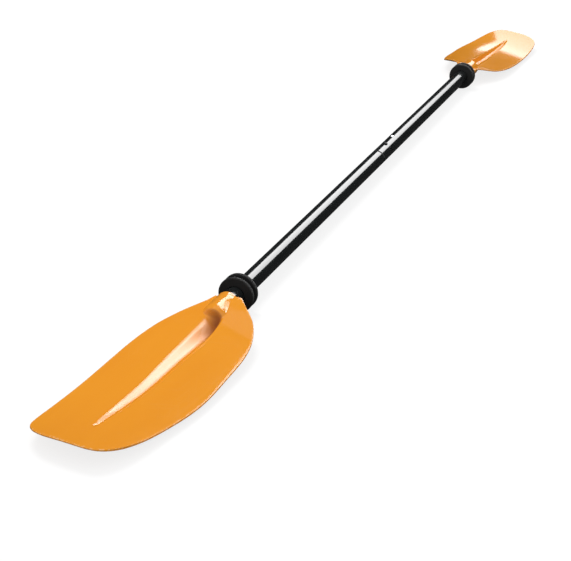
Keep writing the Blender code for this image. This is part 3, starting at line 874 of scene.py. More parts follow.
@dataclass
class Blade:
    """A moulded blade with its socket. Its own X runs from the socket's mouth to the tip."""

    layout: Layout
    side: Side
    length: float = 0.432
    width: float = 0.160
    # The outline, in shares of the length and of the width
    long_edge: tuple[Point, ...] = ((0.045, 0.138), (0.094, 0.206), (0.171, 0.324), (0.317, 0.436),
                                    (0.483, 0.480), (0.658, 0.501), (0.821, 0.513), (0.905, 0.506))
    long_corner: Point = (0.957, 0.470)
    tip_edge: tuple[Point, ...] = ((0.979, -0.409), (0.992, -0.132), (0.978, 0.119))
    round_corner: Point = (0.909, 0.254)
    round_edge: tuple[Point, ...] = ((0.741, 0.383), (0.562, 0.469), (0.385, 0.487), (0.231, 0.479),
                                     (0.102, 0.354), (0.057, 0.236))
    tip_power: float = 8.0
    thickness: float = 0.003
    drop: float = 0.0136  # of the face, two thirds of the way to the tip
    tip_lift: float = 0.0024
    dihedral: float = 0.0053
    dihedral_start: float = 0.3  # share of the length over which it grows
    root_rise: float = 0.0166  # of the face beside the socket, on the round side
    root_rise_long: float = 0.0083
    root_ramp: float = 0.008
    root_length: float = 0.088
    socket_wall: float = 0.003
    socket_depth: float = 0.046
    socket_end_wall: float = 0.008
    socket_fillet: float = 0.006
    mouth_round: float = 0.0009
    nose_length: float = 0.010
    nose_taper: float = 0.0045
    keel_length: float = 0.050
    channel_depth: float = 0.0115
    long_wall: float = 0.0195
    round_wall: float = 0.009
    channel_offset: float = 0.004
    channel_end: float = 0.372
    channel_neck: float = 0.5  # share of the round wall's width that is left at the nose
    channel_opening: float = 0.070
    floor_round: float = 0.3  # shares of the wall's width
    lip_round: float = 0.3
    depth_power: float = 0.6
    wall_power: float = 0.45
    least_taper: float = 0.05
    # Painted shade in the hollow below the nose: its length, its lead and its fall-off across the channel
    painted_shade_length: float = 0.070
    painted_shade_lead: float = 0.002  # the painted shade starts this far before the nose
    painted_shade_power: float = 0.8
    lip_bead: float = 0.0006  # height of the bead along the round side of the channel
    bead_place: float = 1.15
    bead_width: float = 0.25  # shares of the wall
    bead_fade: float = 0.2  # share of the channel's length
    neck_share: float = 0.2  # of the length, over which the columns leave the circle's spacing
    crowding: float = 0.5  # how much closer the columns are in the middle
    rim_steps: int = 6
    inner_columns: int = 109
    mouth_rows: int = 6
    socket_rows: int = 24
    nose_rows: int = 40
    face_rows: int = 150
    spine_steps: int = 1200

    @property
    def socket_bore(self) -> float:
        """Radius of the hole that takes the shaft tube."""
        return self.layout.shaft_radius + FIT_GAP

    @property
    def socket_radius(self) -> float:
        """Outer radius of the socket."""
        return self.socket_bore + self.socket_wall

    @property
    def nose(self) -> float:
        """Where the closed end of the socket starts to fall away."""
        return self.socket_depth + self.socket_end_wall

    @property
    def channel_start(self) -> float:
        """Where the channel leaves the nose."""
        return self.nose + self.nose_length / 2

    def sized(self, shares: Sequence[Point], side: float) -> list[Point]:
        """Plan points from shares of the length and the width."""
        return [(x * self.length, side * y * self.width) for x, y in shares]

    def stations(self) -> np.ndarray:
        """Rows of the grid along the spine, close together on the mouth's round and the nose."""
        bend = np.linspace(0.0, math.pi / 2, self.mouth_rows)
        nose_end = self.nose + 1.5 * self.nose_length
        return np.concatenate([
            self.mouth_round * (1.0 - np.cos(bend)),
            np.linspace(self.mouth_round, self.socket_depth, self.socket_rows)[1:-1],
            np.linspace(self.socket_depth, nose_end, self.nose_rows)[:-1],
            np.linspace(nose_end, self.length - self.thickness, self.face_rows),
        ])

    def plan(self) -> tuple[np.ndarray, np.ndarray, np.ndarray]:
        """Plan places of the grid.

        Returns:
            X from the mouth, Y across, and the distance to the outline.
        """
        long_side = [(0.0, -self.socket_radius)] + self.sized(self.long_edge + (self.long_corner,), -1)
        round_side = self.sized((self.round_corner,) + self.round_edge, 1) + [(0.0, self.socket_radius)]
        tip = self.sized(self.tip_edge, 1)
        outline, knots = spline(long_side + tip + round_side)
        long_end = knots[len(long_side) - 1]
        round_start = knots[len(long_side) + len(tip)]
        quarter = np.linspace(0.0, math.pi / 2, self.rim_steps + 1)
        rim = self.thickness / 2 * (1.0 - np.cos(quarter))
        even = np.linspace(0.0, 1.0, self.inner_columns + 2)[1:-1]
        inner = even + self.crowding * np.sin(math.tau * even) / math.tau
        columns = self.inner_columns + 2 * len(rim)
        on_circle = (1.0 - np.cos(math.pi * np.linspace(0.0, 1.0, columns))) / 2

        def grid(share: np.ndarray) -> tuple[np.ndarray, np.ndarray, np.ndarray]:
            """The grid's rows at these shares of the two long sides."""
            along = share[:, None]
            low = outline(long_end * share)[:, None, :]
            high = outline(knots[-1] - (knots[-1] - round_start) * share)[:, None, :]
            width = np.linalg.norm(high - low, axis=2)
            margin = rim / width
            inset = margin[:, -1:]
            between = inset + (1.0 - 2 * inset) * inner
            spaced = np.concatenate([margin, between, 1.0 - margin[:, ::-1]], axis=1)
            across = on_circle + (spaced - on_circle) * smoothstep(0.0, self.neck_share, along)
            place = low + (high - low) * across[..., None]
            straight = low[-1:] + (high[-1:] - low[-1:]) * across[..., None]
            bow = outline(long_end + (round_start - long_end) * across) - straight
            place = place + along[..., None] ** self.tip_power * bow
            edge = np.minimum(np.minimum(across, 1.0 - across) * width, (1.0 - along) * self.length)
            return place[..., 0], place[..., 1], edge

        dense = np.linspace(0.0, 1.0, self.spine_steps)
        spine = grid(dense)[0][:, columns // 2]
        shares = np.interp(self.stations(), spine, dense)
        tip_shares = 1.0 - rim[::-1] / self.length
        return grid(np.concatenate([shares[shares < tip_shares[0]], tip_shares]))

    def trough(self, share: np.ndarray) -> np.ndarray:
        """Depth of the channel across its wall, from 1 at the round floor to 0 at the rounded lip."""
        flat = self.floor_round
        fall = (np.sqrt(share**2 + flat**2) - flat) / (math.sqrt(1.0 + flat**2) - flat)
        return smooth_max(1.0 - fall, 0.0, self.lip_round)

    def channel(self, x: np.ndarray, y: np.ndarray) -> tuple[np.ndarray, np.ndarray, np.ndarray]:
        """Where the channel runs over the grid.

        Args:
            x: Distance from the mouth.
            y: Distance across.

        Returns:
            What is left of its length, from 1 to 0, the distance from its floor line, and the width of
            the wall there.
        """
        begin = self.channel_start
        taper = np.clip((self.channel_end - x) / (self.channel_end - begin), 0.0, 1.0)
        spine = y[:, len(y[0]) // 2][:, None]
        from_floor = y - spine - self.channel_offset * taper
        opening = smoothstep(begin, begin + self.channel_opening, x)
        round_wall = self.round_wall * (self.channel_neck + (1.0 - self.channel_neck) * opening)
        wall = np.where(from_floor < 0.0, self.long_wall, round_wall)
        return taper, from_floor, wall * np.clip(taper, self.least_taper, 1.0) ** self.wall_power

    def recess(self, x: np.ndarray, y: np.ndarray) -> np.ndarray:
        """How much painted shade each point of the grid gets in the hollow below the socket's nose, from 0
        to 1.
        """
        _, from_floor, wall = self.channel(x, y)
        start = smoothstep(self.nose - self.painted_shade_lead, self.nose + self.nose_length / 3, x)
        end = 1.0 - smoothstep(self.nose + self.nose_length, self.nose + self.painted_shade_length, x)
        return start * end * self.trough(from_floor / wall) ** self.painted_shade_power

    def heights(self, x: np.ndarray, y: np.ndarray, edge: np.ndarray) -> tuple[np.ndarray, np.ndarray]:
        """Heights of the power face and the back over the grid, from the shaft axis.

        Args:
            x: Distance from the mouth.
            y: Distance across.
            edge: Distance to the outline.

        Returns:
            The top and the bottom.
        """
        along = np.clip(x / self.length, 0.0, 1.0)
        peak = 27 / 4  # brings the greatest value of the sag to 1
        sag = along**2 * (1.0 - along)
        face = -self.drop * peak * sag + self.tip_lift * along**3
        across = y / (self.width / 2)
        face = face - self.dihedral * across**2 * smoothstep(0.0, self.dihedral_start, along)
        toward_round = smoothstep(-self.socket_radius, self.socket_radius, y)
        rise = self.root_rise_long + (self.root_rise - self.root_rise_long) * toward_round
        root = smoothstep(0.0, self.root_ramp, x) * (1.0 - smoothstep(self.root_ramp, self.root_length, x))
        face = face + rise * root
        rim = np.clip(edge / (self.thickness / 2), 0.0, 1.0)
        half = self.thickness / 2 * np.sqrt(1.0 - (1.0 - rim) ** 2)
        nose, begin = self.nose, self.channel_start
        sunk = -(self.drop + self.dihedral + 2 * self.socket_fillet)

        def barrel(radius: np.ndarray, start: float, end: float) -> np.ndarray:
            """Half height of the round socket, which falls away at its sides and past its end."""
            round_top = np.sqrt(np.clip(radius**2 - y**2, 0.0, None))
            height = round_top - 2 * np.clip(np.abs(y) - radius, 0.0, None)
            return height + (sunk - height) * smoothstep(start, end, x)

        rounding = self.mouth_radius(x)
        narrowed = rounding - self.nose_taper * smoothstep(self.socket_depth, begin, x)
        upper = barrel(narrowed, nose, nose + self.nose_length)
        lower = barrel(rounding, self.socket_depth + self.socket_wall, self.socket_depth + self.keel_length)
        blend = self.socket_fillet * np.clip(edge / self.socket_radius, 0.0, 1.0)
        taper, from_floor, wall = self.channel(x, y)
        depth = self.channel_depth * smoothstep(nose, nose + self.nose_length, x) * taper**self.depth_power
        hollow = depth * self.trough(from_floor / wall)
        ridge = depth * self.trough(from_floor / (wall + self.thickness))
        fade = smoothstep(begin + self.nose_length, begin + self.channel_opening, x)
        fade = fade * smoothstep(0.0, self.bead_fade, taper)
        bead = self.lip_bead * fade * np.exp(-((from_floor / wall - self.bead_place) / self.bead_width) ** 2)
        top = smooth_max(face + half, upper, blend) - hollow + np.where(from_floor > 0.0, bead, 0.0)
        bottom = -smooth_max(-(face - half) + ridge, lower, blend)
        return top, bottom

    def mouth_radius(self, x: np.ndarray) -> np.ndarray:
        """Radius of the socket, rounded off at its mouth."""
        inset = np.clip(1.0 - x / self.mouth_round, 0.0, 1.0)
        return self.socket_radius - self.mouth_round * (1.0 - np.sqrt(1.0 - inset**2))

    def build(self) -> bpy.types.Object:
        """Make the blade's mesh, bored for the tube and the rivets."""
        x, y, edge = self.plan()
        y = y * self.mouth_radius(x) / self.socket_radius
        top, bottom = self.heights(x, y, edge)
        rows, columns = x.shape
        rim = np.zeros((rows, columns), bool)
        rim[-1], rim[:, 0], rim[:, -1] = True, True, True
        top = np.where(rim, (top + bottom) / 2, top)
        upper = np.arange(rows * columns).reshape(rows, columns)
        lower = upper.copy()
        lower[~rim] = rows * columns + np.arange(np.count_nonzero(~rim))
        places = np.concatenate([np.stack([x, y, top], axis=-1).reshape(-1, 3),
                                 np.stack([x, y, bottom], axis=-1)[~rim]])
        places[:, :2] *= self.side.outward
        places += self.layout.mouth_place(self.side)
        mouth = upper[0].tolist() + lower[0, -2:0:-1].tolist()
        faces = quads(upper) + [face[::-1] for face in quads(lower)] + [mouth]
        mesh = meshed(f"{self.side.value}_blade_moulding", places.tolist(), faces)
        store(mesh, "rim_distance", np.concatenate([edge.ravel(), edge[~rim]]))
        # The mask of painted shade in the hollow below the nose, on the face only
        store(mesh, "recess", np.concatenate([self.recess(x, y).ravel(), np.zeros(np.count_nonzero(~rim))]))
        smoothed(mesh)
        mesh.materials.append(ORANGE_NYLON.material())
        made = linked(mesh.name, mesh)
        pierce(made, self.holes())
        return made

    def holes(self) -> list[Hole]:
        """The socket's bore and its rivet holes."""
        layout, side, radius = self.layout, self.side, self.socket_radius
        bore = Hole(layout.mouth_place(side), Vector((side.outward, 0, 0)), 2 * self.socket_bore,
                    -CUT_MARGIN, self.socket_depth)
        return [bore] + layout.rivet_holes(layout.blade_seats(side), radius / 2, radius + CUT_MARGIN)

    def dress(self) -> None:
        """Build the blade and give it to its half."""
        mount(self.build(), self.side.half, ORANGE_NYLON, f"{self.side.value}_blade")


@dataclass
class ShaftTube:
    """One of the two shaft tubes, with its holes."""

    layout: Layout
    side: Side
    edge: float = 0.0003
    seam_chamfer: float = 0.0013  # of the outer edge at the seam
    hole_margin: float = 0.006  # from a hole's middle to the rings of points beside it

    def holes(self) -> list[Hole]:
        """Holes for the blade's rivets, the ferrule's rivets and the snap button."""
        layout, side = self.layout, self.side
        start, end = layout.bore / 2, layout.shaft_radius + CUT_MARGIN
        found = layout.rivet_holes(layout.blade_seats(side) + layout.ferrule_seats(side), start, end)
        if side is Side.FAR:
            found += layout.button_holes(layout.feather_angles, start, end)
        return found

    def dress(self) -> None:
        """Build the tube and give it to its half."""
        node = f"{self.side.value}_shaft_tube"
        low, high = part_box(node)
        holes = self.holes()
        beside = (-self.hole_margin, self.hole_margin)
        rings = sorted(hole.origin[0] + step for hole in holes for step in beside)
        bore, radius, edge = self.layout.bore, self.layout.shaft_radius, self.edge
        low_end, high_end = [(low.x, radius, edge)], [(high.x, radius, edge)]
        chamfer = self.seam_chamfer
        if self.side is Side.FAR:
            low_end = [(low.x + chamfer, radius, 0.0), (low.x, radius - chamfer, 0.0)]
        else:
            high_end = [(high.x, radius - chamfer, 0.0), (high.x - chamfer, radius, 0.0)]
        corners = [(low.x, bore, edge)] + [(x, bore, 0.0) for x in rings] + [(high.x, bore, edge)]
        corners += high_end + [(x, radius, 0.0) for x in rings[::-1]] + low_end
        made = turned(f"{self.side.value}_coated_tube", corners, BLACK_TUBE,
                      on_axis(0.0, self.layout.axis_height), segments=LARGE_ROUND)
        pierce(made, holes)
        mount(made, self.side.half, BLACK_TUBE, node)


@dataclass
class DripRing:
    """A rubber ring with two rounded lips and a waist between them."""

    layout: Layout
    side: Side
    lip: float = 0.007
    lip_height: float = 0.008
    edge: float = 0.0024
    bore_edge: float = 0.0007

    def dress(self) -> None:
        """Build the ring and give it to its own body."""
        node = f"{self.side.value}_drip_ring"
        low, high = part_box(node)
        end = (high.x - low.x) / 2
        radius = (high.y - low.y) / 2
        bore = self.layout.shaft_radius + FIT_GAP
        waist = radius - self.lip_height
        inner = end - self.lip
        half = [(inner, waist, self.edge), (inner, radius, self.edge), (end, radius, self.edge),
                (end, bore, self.bore_edge)]
        corners = half + [(-x, r, fillet) for x, r, fillet in half[::-1]]
        made = turned(f"{self.side.value}_rubber_ring", corners, RING_RUBBER,
                      on_axis(self.layout.middle(node), self.layout.axis_height), segments=LARGE_ROUND)
        mount(made, self.side.ring, RING_RUBBER, node)


@dataclass
class Ferrule:
    """The sleeve, liner, washer, snap button and spring that join the two tubes."""

    layout: Layout
    liner_wall: float = 0.0012
    sleeve_wall: float = 0.0015
    edge: float = 0.0004
    washer_inset: float = 0.0012  # the washer's rim lies this far below the tubes
    flange: float = 0.0022
    flange_height: float = 0.0012
    flange_edge: float = 0.0003
    stem_crease: float = 0.0002
    dome: float = 0.0014
    dome_flat: float = 0.62  # share of the stem's radius
    strip: float = 0.0006
    strip_sides: int = 16
    leg_steps: int = 12
    bend_steps: int = 32

    def __post_init__(self) -> None:
        """Work out the radii from the tubes' bore inwards."""
        self.liner_radius = self.layout.bore - FIT_GAP
        self.liner_bore = self.liner_radius - self.liner_wall
        self.sleeve_radius = self.liner_bore - FIT_GAP
        self.sleeve_bore = self.sleeve_radius - self.sleeve_wall
        self.axis = on_axis(0.0, self.layout.axis_height)

    def dress(self) -> None:
        """Build all five pieces."""
        self.dress_sleeve()
        self.dress_liner()
        self.dress_washer()
        self.dress_button()
        self.dress_spring()

    def dress_sleeve(self) -> None:
        """The stepped sleeve that is fixed in the near tube."""
        layout = self.layout
        low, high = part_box("ferrule_sleeve")
        step = layout.seam - layout.seam_half
        fixed = layout.bore - FIT_GAP
        corners = [(low.x, self.sleeve_bore, self.edge), (high.x, self.sleeve_bore, self.edge),
                   (high.x, self.sleeve_radius, 2 * self.edge), (step, self.sleeve_radius, 0.0),
                   (step, fixed, self.edge), (low.x, fixed, self.edge)]
        made = turned("wound_sleeve", corners, SLEEVE_FIBRE, self.axis)
        start, end = self.sleeve_bore / 2, layout.shaft_radius
        holes = layout.rivet_holes(layout.ferrule_seats(Side.NEAR), start, end)
        holes += layout.button_holes([0.0], start, end)
        pierce(made, holes, "MANIFOLD")
        mount(made, Body.NEAR_HALF, SLEEVE_FIBRE, "ferrule_sleeve")

    def dress_liner(self) -> None:
        """The bush in the far tube that the sleeve slides in."""
        layout = self.layout
        low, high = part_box("ferrule_liner")
        corners = [(low.x, self.liner_bore, self.edge), (high.x, self.liner_bore, self.edge),
                   (high.x, self.liner_radius, self.edge), (low.x, self.liner_radius, self.edge)]
        made = turned("liner_bush", corners, LINER_NYLON, self.axis)
        start, end = self.sleeve_bore / 2, layout.shaft_radius
        holes = layout.rivet_holes(layout.ferrule_seats(Side.FAR), start, end)
        pierce(made, holes + layout.button_holes(layout.feather_angles, start, end))
        mount(made, Body.FAR_HALF, LINER_NYLON, "ferrule_liner")

    def dress_washer(self) -> None:
        """The thin rubber washer between the tube ends."""
        low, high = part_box("seam_washer")
        bore = self.sleeve_radius + FIT_GAP
        radius = self.layout.shaft_radius - self.washer_inset
        corners = [(low.x, bore, self.edge / 2), (high.x, bore, self.edge / 2),
                   (high.x, radius, self.edge), (low.x, radius, self.edge)]
        made = turned("seam_ring", corners, RING_RUBBER, self.axis)
        mount(made, Body.WASHER, RING_RUBBER, "seam_washer")

    def dress_button(self) -> None:
        """The flanged snap button with its domed top."""
        low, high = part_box("snap_button")
        base, top = low.z - self.layout.axis_height, high.z - self.layout.axis_height
        stem = self.layout.button_diameter / 2
        flange, shoulder = stem + self.flange, base + self.flange_height
        corners = [(base, 0.0, 0.0), (base, flange, self.flange_edge), (shoulder, flange, self.flange_edge),
                   (shoulder, stem, self.stem_crease), (top - self.dome / 3, stem, self.dome / 2),
                   (top, stem * self.dome_flat, self.dome / 2), (top, 0.0, 0.0)]
        place = on_axis(self.layout.middle("snap_button"), self.layout.axis_height, radial(0.0))
        made = turned("domed_button", corners, BUTTON_STEEL, place, closed=False, segments=SMALL_ROUND)
        mount(made, Body.BUTTON, BUTTON_STEEL, "snap_button")

    def dress_spring(self) -> None:
        """The U-shaped leaf, one leg under the button and the other on the sleeve's wall."""
        low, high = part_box("snap_spring")
        half = self.strip / 2
        upper, lower = high.z - half, low.z + half
        bend = (upper - lower) / 2
        turns = np.linspace(math.pi / 2, 3 * math.pi / 2, self.bend_steps + 1)
        centre = low.x + half + bend
        leg = np.linspace(high.x, centre, self.leg_steps)
        line = [(x, upper) for x in leg[:-1]]
        line += [(centre + bend * math.cos(a), (upper + lower) / 2 + bend * math.sin(a)) for a in turns]
        line += [(x, lower) for x in leg[-2::-1]]
        path = np.array(line)
        along = np.gradient(path, axis=0)
        along /= np.linalg.norm(along, axis=1)[:, None]
        across = np.stack([-along[:, 1], along[:, 0]], axis=1)
        width = (high.y - low.y) / 2
        turn = (np.arange(self.strip_sides) + 0.5) * math.tau / self.strip_sides
        # The strip's section has half-round edges
        ring_y = (width - half) * np.sign(np.cos(turn)) + half * np.cos(turn)
        ring_n = half * np.sin(turn)
        places = [(px + nx * n, y, pz + nz * n) for (px, pz), (nx, nz) in zip(path, across)
                  for y, n in zip(ring_y, ring_n)]
        sheet = np.arange(len(places)).reshape(len(path), self.strip_sides)
        around = np.concatenate([sheet, sheet[:, :1]], axis=1)
        mesh = meshed("leaf_strip", places, quads(around.T) + [sheet[0].tolist(), sheet[-1].tolist()])
        smoothed(mesh)
        mesh.materials.append(SPRING_STEEL.material())
        made = linked("leaf_strip", mesh)
        lower + half
        upper - half
        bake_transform(made)
        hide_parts("snap_spring")
        log.info("%s bends between %s and %s", made.name, Body.NEAR_HALF.value, Body.BUTTON.value)


class RivetTree(Recipe):
    """Sets one blind rivet on each seat and stretches it to its grip."""

    name = "blind_rivets"
    inputs = {"Seats": "NodeSocketGeometry", "Profile": "NodeSocketObject", "Segments": "NodeSocketInt",
              "Finish": "NodeSocketMaterial"}
    tail_start = -0.00001  # points of the profile below this belong to the tail

    @classmethod
    def wire(cls, made: NodeTree, *given: Sock) -> Sock:
        """Turn the rivet, set it on the seats and pull its tail inwards."""
        seats, profile, segments, finish = given
        line = made.sock("GeometryNodeObjectInfo", None, {"Object": profile}, "Geometry")
        rivet = made.sock("GeometryNodeGroup", {"node_tree": TurnedTree.tree()},
                          {"Profile": line, "Segments": segments, "Finish": finish})
        height = made.axes(made.sock("GeometryNodeInputPosition"))[0]
        marked = made.sock("GeometryNodeStoreNamedAttribute", {"data_type": "FLOAT", "domain": "POINT"},
                           {"Geometry": rivet, "Name": "tail",
                            "Value": made.math("LESS_THAN", height, cls.tail_start)})
        aim, grip, tail = (made.sock("GeometryNodeInputNamedAttribute", {"data_type": kind}, {"Name": name})
                           for name, kind in (("aim", "FLOAT_VECTOR"), ("grip", "FLOAT"), ("tail", "FLOAT")))
        turn = made.sock("FunctionNodeAlignRotationToVector", {"axis": "X"}, {"Vector": aim})
        placed = made.sock("GeometryNodeInstanceOnPoints", None,
                           {"Points": seats, "Instance": marked, "Rotation": turn})
        real = made.sock("GeometryNodeRealizeInstances", None, {"Geometry": placed})
        pull = made.sock("ShaderNodeVectorMath", {"operation": "SCALE"},
                         {"Vector": aim, "Scale": grip * tail * -1.0})
        stretched = made.sock("GeometryNodeSetPosition", None, {"Geometry": real, "Offset": pull})
        return made.sock("GeometryNodeSetMaterial", None, {"Geometry": stretched, "Material": finish})


@dataclass
class RivetSet:
    """All the blind rivets of one half."""

    layout: Layout
    side: Side
    ferrule: Ferrule
    socket_radius: float
    head: float = 0.0068
    head_height: float = 0.0013
    tail: float = 0.0056
    tail_height: float = 0.0016
    mandrel: float = 0.0018
    soft_edge: float = 0.0004
    edge: float = 0.0002
    segments: int = 32

    def seats(self) -> list[tuple[str, float, float, float]]:
        """Node, angle from the top, outer radius and inner radius of each rivet's seat."""
        layout, side, ferrule = self.layout, self.side, self.ferrule
        lining = ferrule.sleeve_bore if side is Side.NEAR else ferrule.liner_bore
        found = [(*seat, self.socket_radius, layout.bore) for seat in layout.blade_seats(side)]
        return found + [(*seat, layout.shaft_radius, lining) for seat in layout.ferrule_seats(side)]

    def profile(self) -> bpy.types.Object:
        """A rivet with no grip: the dome and its mandrel hole above 0, and the tail below it."""
        dome, bulge, hole = self.head / 2, self.tail / 2, self.mandrel / 2
        shank = self.layout.rivet_shank / 2
        top, low, split = self.head_height, -self.tail_height, 2 * RivetTree.tail_start
        soft, edge = self.soft_edge, self.edge
        tail = [(low, 0.0, 0.0), (low, 0.7 * bulge, soft), (low / 2, bulge, soft), (split, bulge, edge),
                (split, shank, 0.0)]
        head = [(0.0, shank, 0.0), (0.0, dome, edge), (0.5 * top, 0.86 * dome, soft),
                (0.9 * top, 0.5 * dome, soft), (top, hole, edge / 2)]
        mandrel = [(0.5 * top, hole, edge / 2), (0.55 * top, 0.5 * hole, 0.0), (0.6 * top, 0.0, 0.0)]
        return linked("rivet_profile", polyline("rivet_profile", rounded(tail + head + mandrel, False, 3)))

    def dress(self) -> None:
        """Set the rivets and give them to their half."""
        seats = self.seats()
        aims = [radial(angle) for _, angle, _, _ in seats]
        heads = [outer + FIT_GAP for _, _, outer, _ in seats]
        tails = [math.sqrt(inner**2 - (self.tail / 2) ** 2) - FIT_GAP for _, _, _, inner in seats]
        name = f"{self.side.value}_blind_rivets"
        axis = self.layout.axis_height
        mesh = meshed(name, [Vector((self.layout.middle(seat[0]), 0.0, axis)) + aim * head
                             for seat, aim, head in zip(seats, aims, heads)])
        aim_values = mesh.attributes.new("aim", "FLOAT_VECTOR", "POINT")
        aim_values.data.foreach_set("vector", [part for aim in aims for part in aim])
        store(mesh, "grip", [head - tail for head, tail in zip(heads, tails)])
        made = linked(name, mesh)
        profile = self.profile()
        RivetTree.run(made, {"Profile": profile, "Segments": self.segments,
                             "Finish": RIVET_ALLOY.material()})
        bpy.data.objects.remove(profile)
        smoothed(made.data)
        mount(made, self.side.half, RIVET_ALLOY, *(seat[0] for seat in seats))


@dataclass
class Plugs:
    """The ribbed plug in a tube's blade end and the foam bung behind the ferrule."""

    layout: Layout
    side: Side
    lip: float = 0.0015
    edge: float = 0.0003
    rib: float = 0.0005
    ribs: int = 3

    def dress(self) -> None:
        """Build both pieces and give them to their half."""
        side = self.side
        place = on_axis(0.0, self.layout.axis_height, Vector((side.outward, 0, 0)))
        for piece, node, profile, finish in (("ribbed_plug", "end_plug", self.plug_profile, PLUG_PLASTIC),
                                             ("foam_bung", "float_bung", self.bung_profile, BUNG_FOAM)):
            solid = f"{side.value}_{node}"
            corners = profile(*self.span(solid), self.layout.bore - FIT_GAP)
            made = turned(f"{side.value}_{piece}", corners, finish, place, False, SMALL_ROUND)
            mount(made, side.half, finish, solid)

    def plug_profile(self, inner: float, outer: float, radius: float) -> list[Corner]:
        """Corners of the plug: ribs that ramp up and fall off steeply, and a lip on the tube's end."""
        seat, rim = outer - self.lip, self.layout.shaft_radius
        pitch = (seat - inner) / (self.ribs + 1)
        low = radius - self.rib
        corners = [(inner, 0.0, 0.0), (inner, low, self.edge)]
        for number in range(self.ribs):
            start = inner + (number + 0.5) * pitch
            corners += [(start, low, 0.0), (start + pitch / 2, radius, 0.0),
                        (start + pitch * 0.8, radius, 0.0), (start + pitch * 0.9, low, 0.0)]
        lip = [(seat, low, 0.0), (seat, rim, self.edge), (outer, rim, self.edge), (outer, 0.0, 0.0)]
        return corners + lip

    def bung_profile(self, inner: float, outer: float, radius: float) -> list[Corner]:
        """Corners of the bung, with soft edges."""
        soft = 4 * self.edge
        return [(inner, 0.0, 0.0), (inner, radius, soft), (outer, radius, soft), (outer, 0.0, 0.0)]

    def span(self, node: str) -> tuple[float, float]:
        """Distances of a solid's two ends from the middle, towards this side's blade."""
        low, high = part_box(node)
        return (low.x, high.x) if self.side is Side.FAR else (-high.x, -low.x)


def glow_material(name: str, start: float, end: float | None = None,
                  span: Point = (0.0, 1.0)) -> bpy.types.Material:
    """A glowing material for what only reflections see.

    Args:
        name: The material's name.
        start: How bright it is, where 1 is white.
        end: How bright it is at the end of its span along X, or None for the same.
        span: Where along X the brightness changes.

    Returns:
        The material.
    """
    material = bpy.data.materials.new(name)
    tree = ShaderTree(material)
    strength: Value = start
    if end is not None:
        limits = {"From Min": span[0], "From Max": span[1], "To Min": start, "To Max": end}
        strength = tree.sock("ShaderNodeMapRange", None, {"Value": tree.axes(tree.place)[0], **limits})
    glow = tree.sock("ShaderNodeEmission", None, {"Strength": strength})
    behind = tree.sock("ShaderNodeNewGeometry", None, None, "Backfacing")
    clear = tree.sock("ShaderNodeBsdfTransparent")
    glow = tree.sock("ShaderNodeMixShader", None, {0: behind, 1: glow, 2: clear})
    tree.node("ShaderNodeOutputMaterial", None, {"Surface": glow})
    return material


def reflected_only(name: str, places: Sequence[Triple], faces: Sequence[Sequence[int]],
                   material: bpy.types.Material) -> None:
    """Add a card of the studio that shows in reflections and nowhere else."""
    card = linked(name, meshed(name, places, faces))
    card.data.materials.append(material)
    for rays in ("camera", "diffuse", "shadow", "transmission"):
        setattr(card, f"visible_{rays}", False)


@dataclass(frozen=True)
class Panel:
    """A softbox of tilted slats above the paddle, which glow to one side and show in reflections only."""

    name: str
    outline: tuple[Point, ...]
    start: float  # how bright it is at its near end, where 1 is white
    end: float
    height: float = 0.5
    pitch: float = 0.008  # from slat to slat
    tilt: float = 50.0

    def reach(self, x: float) -> Point:
        """The least and the greatest Y of the outline at this X."""
        found = []
        for (x0, y0), (x1, y1) in zip(self.outline, self.outline[1:] + self.outline[:1]):
            if min(x0, x1) <= x <= max(x0, x1) and x0 != x1:
                found.append(y0 + (y1 - y0) * (x - x0) / (x1 - x0))
        return min(found), max(found)

    def build(self) -> None:
        """Make the panel."""
        ends = [x for x, _ in self.outline]
        near, far = min(ends), max(ends)
        count = max(1, round((far - near) / self.pitch))
        across = self.pitch / 2 * math.cos(math.radians(self.tilt))
        fall = self.pitch / 2 * math.sin(math.radians(self.tilt))
        places = []
        for slat in range(count):
            x = near + (far - near) * (slat + 0.5) / count
            low, high = self.reach(x)
            upper, lower = self.height + fall, self.height - fall
            places += [(x - across, low, upper), (x - across, high, upper),
                       (x + across, high, lower), (x + across, low, lower)]
        faces = np.arange(4 * count).reshape(count, 4).tolist()
        glow = glow_material(self.name, self.start, self.end, (near, far))
        reflected_only(self.name, places, faces, glow)


